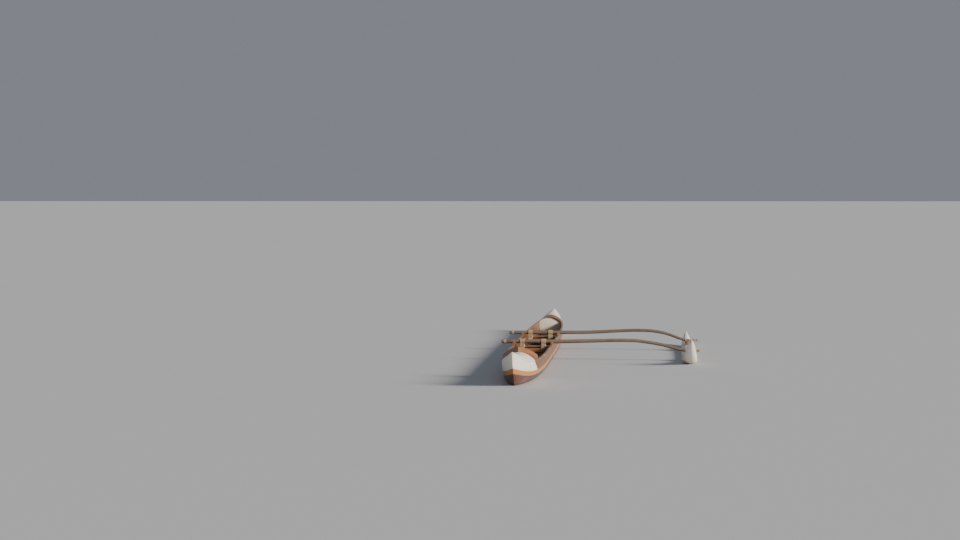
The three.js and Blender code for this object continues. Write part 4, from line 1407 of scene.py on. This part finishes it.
def boxOf(node):
    low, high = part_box(node)
    return [v / mm for v in low], [v / mm for v in high]


# Spreaders, cleats and chocks
fittingShape = {"spreaderEase": 3, "cleatEase": 4, "chockEase": 2.5, "cleatScrews": (50, 14),
                "chockScrews": 44, "chockCut": (5, 9), "rubbed": 27}


def hollowFor(y, z, radius, top):  # the bed of a boom, cut into a block with this top
    start = math.degrees(math.asin((top - z) / radius))
    return arc(y, z, radius, start, -180 - start, 14)


def chockOutline(name, x, low, high):
    z, radius = boomAt(name, x)
    inward, down = fittingShape["chockCut"]
    line = [(low[1], low[2]), (high[1], low[2]), (high[1], high[2] - down), (high[1] - inward, high[2])]
    line += hollowFor(boomPlaces[name], z, radius + gap, high[2])
    return line + [(low[1] + inward, high[2]), (low[1], high[2] - down)]


def makeFittings():
    for name, boomY in boomPlaces.items():
        low, high = boxOf(f"spreader_{name}")
        bar = block(f"{name}Spreader", low, high, fittingShape["spreaderEase"])
        placeGrain(bar, "x", shiftFor(f"spreader {name}"))
        setValue(bar, "rubbed", lambda p: 0.45 if abs(abs(p.x) - boomShape["lashedAt"]) < 40 else 0)
        settle(bar, "varnished_wood", f"spreader_{name}")
        for sideName, side in sides.items():
            node = f"spreader_cleat_{name}_{sideName}"
            cleatLow, cleatHigh = boxOf(node)
            cleat = block(f"{name}_{sideName}_cleat", cleatLow, cleatHigh, fittingShape["cleatEase"])
            carve(cleat, [block("tool", [v - gap for v in low], [v + gap for v in high])])
            faceOut(cleat)
            placeGrain(cleat, "y", shiftFor(node))
            settle(cleat, "varnished_wood", node)
            face = cleatLow[0] if side > 0 else cleatHigh[0]
            out, inset = fittingShape["cleatScrews"]
            for y in (boomY - out, boomY + out):
                for z in (cleatLow[2] + inset, cleatHigh[2] - inset):
                    screwPoints.append(((face, y, z), (-side, 0, 0)))
            node = f"boom_chock_{name}_{sideName}"
            chockLow, chockHigh = boxOf(node)
            rings = []
            for x in (chockLow[0], chockHigh[0]):
                rings.append([(x, y, z) for y, z in chockOutline(name, x, chockLow, chockHigh)])
            chock = loftPiece(f"{name}_{sideName}_chock", rings, railWood, fittingShape["chockEase"])
            placeGrain(chock, "y", shiftFor(node))
            seated = chockLow[2] + 12
            beside = fittingShape["rubbed"]
            setValue(chock, "rubbed", lambda p: 0.5 if abs(p.y - boomY) < beside and p.z > seated else 0)
            settle(chock, "varnished_wood", node)
            middle = (chockLow[0] + chockHigh[0]) / 2
            out = fittingShape["chockScrews"]
            for y in (boomY - out, boomY + out):
                screwPoints.append(((middle, y, chockHigh[2] - 0.2), (0, 0, 1)))


makeFittings()
print("spreaders, cleats and chocks fitted")


# Float, with its saddles
floatShape = {"stations": 110, "ringPoints": 36, "nose": 9, "crowding": 0.45}


def makeFloat():
    first, last = floatLines[0][0], floatLines[-1][0]
    nose = floatShape["nose"]
    places = []
    for share in (0, 0.04, 0.15, 0.35, 0.65):
        places += [first + nose * share, last - nose * share]
    places += crowdedEnds(first + nose, last - nose, floatShape["stations"], floatShape["crowding"])
    rings = []
    for y in sorted(places):
        half, top, bottom = rowAt(floatLines, y)
        shrink = max(noseRound(min(y - first, last - y), nose), 0.03)
        middle, high = (top + bottom) / 2, (top - bottom) / 2
        ring = arc(0, 0, shrink, 0, 360, floatShape["ringPoints"])[:-1]
        rings.append([(floatPlace + half * x, y, middle + high * z) for x, z in ring])
    made = loftPiece("outriggerFloat", rings, floatPaint, sharpOver=60)
    placeGrain(made, "y", (3.1, 0.05 - floatPlace * mm, 0.09))

    def knocked(p):
        worn = 0.5 * fading(p.y - first, 150) + 0.45 * fading(p.y - last, 120)
        if p.z > 60:
            worn += sum(0.4 * fading(p.y - y, 170) for y in boomPlaces.values())
        return worn

    setValue(made, "rubbed", knocked)
    settle(made, "white_paint", "float")


makeFloat()

saddleShape = {"length": 290, "width": 34, "shoulder": 18, "hole": 9, "reach": 95, "above": 6, "ease": 3,
               "sunk": 3, "underMiddle": 2, "clear": 0.6}


def eyeHeight(name):
    y = boomPlaces[name]
    crown = max(rowAt(floatLines, y + s * saddleShape["reach"])[1] for s in (-1, 1))
    return crown + saddleShape["above"] + saddleShape["hole"]


def makeSaddle(name):
    y0 = boomPlaces[name]
    z0, radius = boomAt(name, floatPlace)
    top = z0 - saddleShape["underMiddle"]
    long, shoulder = saddleShape["length"] / 2, saddleShape["shoulder"]
    foot = spaced(y0 - long, y0 + long, 20)
    line = [(y, rowAt(floatLines, y)[1] - saddleShape["sunk"]) for y in foot]
    line += arc(y0 + long - shoulder, top - shoulder, shoulder, 0, 90, 5)
    line += hollowFor(y0, z0, radius + saddleShape["clear"], top)
    line += arc(y0 - long + shoulder, top - shoulder, shoulder, 90, 180, 5)
    half = saddleShape["width"] / 2
    rings = [[(floatPlace + x, y, z) for y, z in line] for x in (-half, half)]
    saddle = loftPiece(f"{name}Saddle", rings, railWood, saddleShape["ease"], 3, 45)
    tools = []
    for side in (-1, 1):
        middle = y0 + side * saddleShape["reach"]
        ring = arc(middle, eyeHeight(name), saddleShape["hole"], 0, 360, 20)[:-1]
        points, faces = loft([[(floatPlace + x, y, z) for y, z in ring] for x in (-40, 40)])
        tools.append(cleanUp(makeObject("tool", points, faces)))
    carve(saddle, tools)
    faceOut(saddle)
    for face in saddle.data.polygons:
        face.use_smooth = True
    cleanUp(saddle, sharpOver=45)
    placeGrain(saddle, "y", shiftFor(f"saddle {name}"))

    def chafed(p):
        away = abs(p.y - y0)
        return 0.5 * fading(away - saddleShape["reach"], 22) + (0.4 if away < 20 else 0)

    setValue(saddle, "rubbed", chafed)
    settle(saddle, "varnished_wood", f"float_saddle_{name}")


makeSaddle("front")
makeSaddle("rear")
print("float and saddles fitted")


# Lashings. Each is one laid rope; the turns lie side by side and are drawn together at the waist.
hullLashing = {
    "x": boomShape["lashedAt"], "turns": 7, "pitch": 8.7, "squeeze": 0.86, "waistTurns": 4,
    "waistPitch": 8.5, "waistHalf": 16, "waistClear": 0.4, "boomClear": 1.2, "barClear": 0.5, "overBar": 3,
    "radius": 4.15, "bend": 7, "lay": 26, "step": 2.8, "ringPoints": 12,
}


def tieRope(name, points, edges, rope):
    made = makeObject(name, points, [], edges=edges)
    applyNodes(made, ropeNodes, {
        "Bend Radius": rope["bend"] * mm, "Rope Radius": rope["radius"] * mm, "Lay Length": rope["lay"] * mm,
        "Step": rope["step"] * mm, "Ring Points": rope["ringPoints"], "Material": lashingRope,
    })
    faceOut(made, merge=False)
    return made


def makeHullLashing(name, sideName, side):
    x0, y0, thick = side * hullLashing["x"], boomPlaces[name], hullLashing["radius"]
    low, high = boxOf(f"spreader_{name}")
    z0, radius = boomAt(name, hullLashing["x"])
    waist = (high[2] + boomBed(name) - radius) / 2
    offBar = hullLashing["barClear"] + thick
    foot = (high[1] - low[1]) / 2 + offBar
    over, under = high[2] + hullLashing["overBar"], low[2] - offBar
    drawn, waistClear = hullLashing["waistHalf"], hullLashing["waistClear"]
    loop = [(drawn, waist), (foot, over), (foot, under), (-foot, under), (-foot, over), (-drawn, waist)]
    loop += arc(0, z0, radius + hullLashing["boomClear"] + thick, 222, -42, 22)
    turns, pitch = hullLashing["turns"], hullLashing["pitch"]
    points = [(x0 - pitch * turns / 2, y0, waist)]
    for turn in range(turns):
        for k, (dy, z) in enumerate(loop):
            across = pitch * (turn + (k + 0.5) / len(loop) - turns / 2)
            if abs(z - waist) < 1:
                across *= hullLashing["squeeze"]
            points.append((x0 + across, y0 + dy, z))
    points.append((x0 + 0.4 * pitch * turns, y0, waist))
    edges = inRow(points)
    begin = len(points)
    wide = pitch * (turns - 1) / 2 * hullLashing["squeeze"] + 2 * (thick + waistClear)
    deep = drawn + 2 * thick + waistClear
    corners = [(wide, deep), (wide, -deep), (-wide, -deep), (-wide, deep)]
    drop = hullLashing["waistPitch"]
    top = waist + hullLashing["waistTurns"] * drop / 2
    points += [(x0 + 5, y0, top), (x0 + 5, y0 + deep, top)]
    for turn in range(hullLashing["waistTurns"]):
        for k, (dx, dy) in enumerate(corners):
            points.append((x0 + dx, y0 + dy, top - drop * (turn + (k + 0.5) / 4)))
    points += [(x0, y0 + deep, 2 * waist - top), (x0, y0, 2 * waist - top)]
    edges += [(i, i + 1) for i in range(begin, len(points) - 1)]
    lashing = tieRope(f"{name}_{sideName}_lashing", points, edges, hullLashing)
    settle(lashing, "cordage", f"hull_lashing_{name}_{sideName}")


for boomName in boomLines:
    for sideName, side in sides.items():
        makeHullLashing(boomName, sideName, side)

floatLashing = {"turns": 2, "clear": 0.7, "fromSide": 0.6, "between": 0.4, "radius": 4.0, "bend": 6,
                "lay": 26, "step": 2.6, "ringPoints": 12}


def makeFloatLashing(name):
    y0, thick = boomPlaces[name], floatLashing["radius"]
    reach, eye, half = saddleShape["reach"], eyeHeight(name), saddleShape["width"] / 2

    def overBoom(x, heightFrom, heightTo, direction):
        z0, radius = boomAt(name, floatPlace + x)
        around = radius + floatLashing["clear"] + thick
        sweep = []
        for height in (heightFrom, heightTo):
            away = math.dist((reach, height), (0, z0))
            sweep.append(math.degrees(math.atan2(height - z0, reach) + math.acos(around / away)))
        return [(x, direction * y, z) for y, z in arc(0, z0, around, 180 - sweep[0], sweep[1], 14)]

    points = [(0, -reach, eye - thick)]
    for turn in range(floatLashing["turns"]):
        x = half + floatLashing["fromSide"] + thick + turn * (2 * thick + floatLashing["between"])
        z = eye - thick + turn * 2 * thick
        nextZ = min(z + 2 * thick, eye + thick)
        points += [(x, -reach, z)] + overBoom(x, z, z, 1) + [(x, reach, z), (-x, reach, z)]
        points += overBoom(-x, z, nextZ, -1) + [(-x, -reach, z)]
    points.append((0, -reach, eye + thick))
    points = [(floatPlace + x, y0 + y, z) for x, y, z in points]
    lashing = tieRope(f"{name}_float_lashing", points, inRow(points), floatLashing)
    settle(lashing, "cordage", f"float_lashing_{name}")


makeFloatLashing("front")
makeFloatLashing("rear")

# Whippings keep the ends of the booms from splitting
whipping = {"turns": 9, "inboard": 34, "length": 26, "radius": 1.6, "bend": 0, "lay": 10, "step": 3,
            "ringPoints": 9}


def makeWhippings():
    pitch = 2 * whipping["radius"] * 1.04
    fromTip = whipping["inboard"] + whipping["length"]
    for name, line in boomLines.items():
        for end, start in (("hull", line[0][0] + whipping["inboard"]), ("tip", line[-1][0] - fromTip)):
            points = []
            for turn in spaced(0, whipping["turns"], 1 / 24):
                a = 2 * math.pi * turn
                x = start + pitch * turn
                z0, radius = boomAt(name, x)
                r = radius + whipping["radius"] * 0.95
                points.append((x, boomPlaces[name] + r * math.cos(a), z0 + r * math.sin(a)))
            settle(tieRope(f"{name}_{end}_whipping", points, inRow(points), whipping), "cordage")


makeWhippings()
print("lashings tied")


# Wooden plugs over the fastenings, and bronze screws
plugProfile = [(5.5, -3.3), (5.5, 0.11), (5.1, 0.33), (2.75, 0.41)]  # radius and height
screwForm = {"radius": 4, "low": -0.5, "high": 0.55, "top": 0.94, "slot": 0.16,
             "floor": [(3.9, -0.5), (3.9, 0.05)]}


def roundRings(profile):
    return [[(x, y, z) for x, y in arc(0, 0, radius, 0, 360, 16)[:-1]] for radius, z in profile]


def makePlugShape():
    points, faces = loft(roundRings(plugProfile))
    return cleanUp(makeObject("plugShape", points, faces), sharpOver=30)


def makeScrewShape():  # two half heads with the slot between them, on a round base
    lofts = [roundRings(screwForm["floor"])]
    slot = math.degrees(math.asin(screwForm["slot"]))
    narrow = screwForm["top"]
    for side in (-1, 1):
        line = [(x, side * y) for x, y in arc(0, 0, screwForm["radius"], slot, 180 - slot, 8)]
        low = [(x, y, screwForm["low"]) for x, y in line]
        high = [(x * narrow, y * narrow + side * 0.03, screwForm["high"]) for x, y in line]
        lofts.append([low, high])
    points, faces = [], []
    for rings in lofts:
        morePoints, moreFaces = loft(rings)
        faces += [tuple(v + len(points) for v in face) for face in moreFaces]
        points += morePoints
    return cleanUp(makeObject("screwShape", points, faces), sharpOver=30)


def makeFastenings(name, spots, shape, material, slot):
    made = makeObject(name, [spot for spot, facing in spots], [])
    layer = made.data.attributes.new("facing", "FLOAT_VECTOR", "POINT")
    layer.data.foreach_set("vector", [v for spot, facing in spots for v in facing])
    applyNodes(made, fasteningNodes, {"Shape": shape, "Size Change": 0.04, "Seed": 11, "Material": material})
    bpy.data.objects.remove(shape)
    placeGrain(made, "z", (0, 0.3, 0.2))
    settle(made, slot)


makeFastenings("woodenPlugs", plugPoints, makePlugShape(), plugWood, "varnished_wood")
makeFastenings("bronzeScrews", screwPoints, makeScrewShape(), bronze, "varnished_wood")
print("plugs and screws set:", len(plugPoints), len(screwPoints))
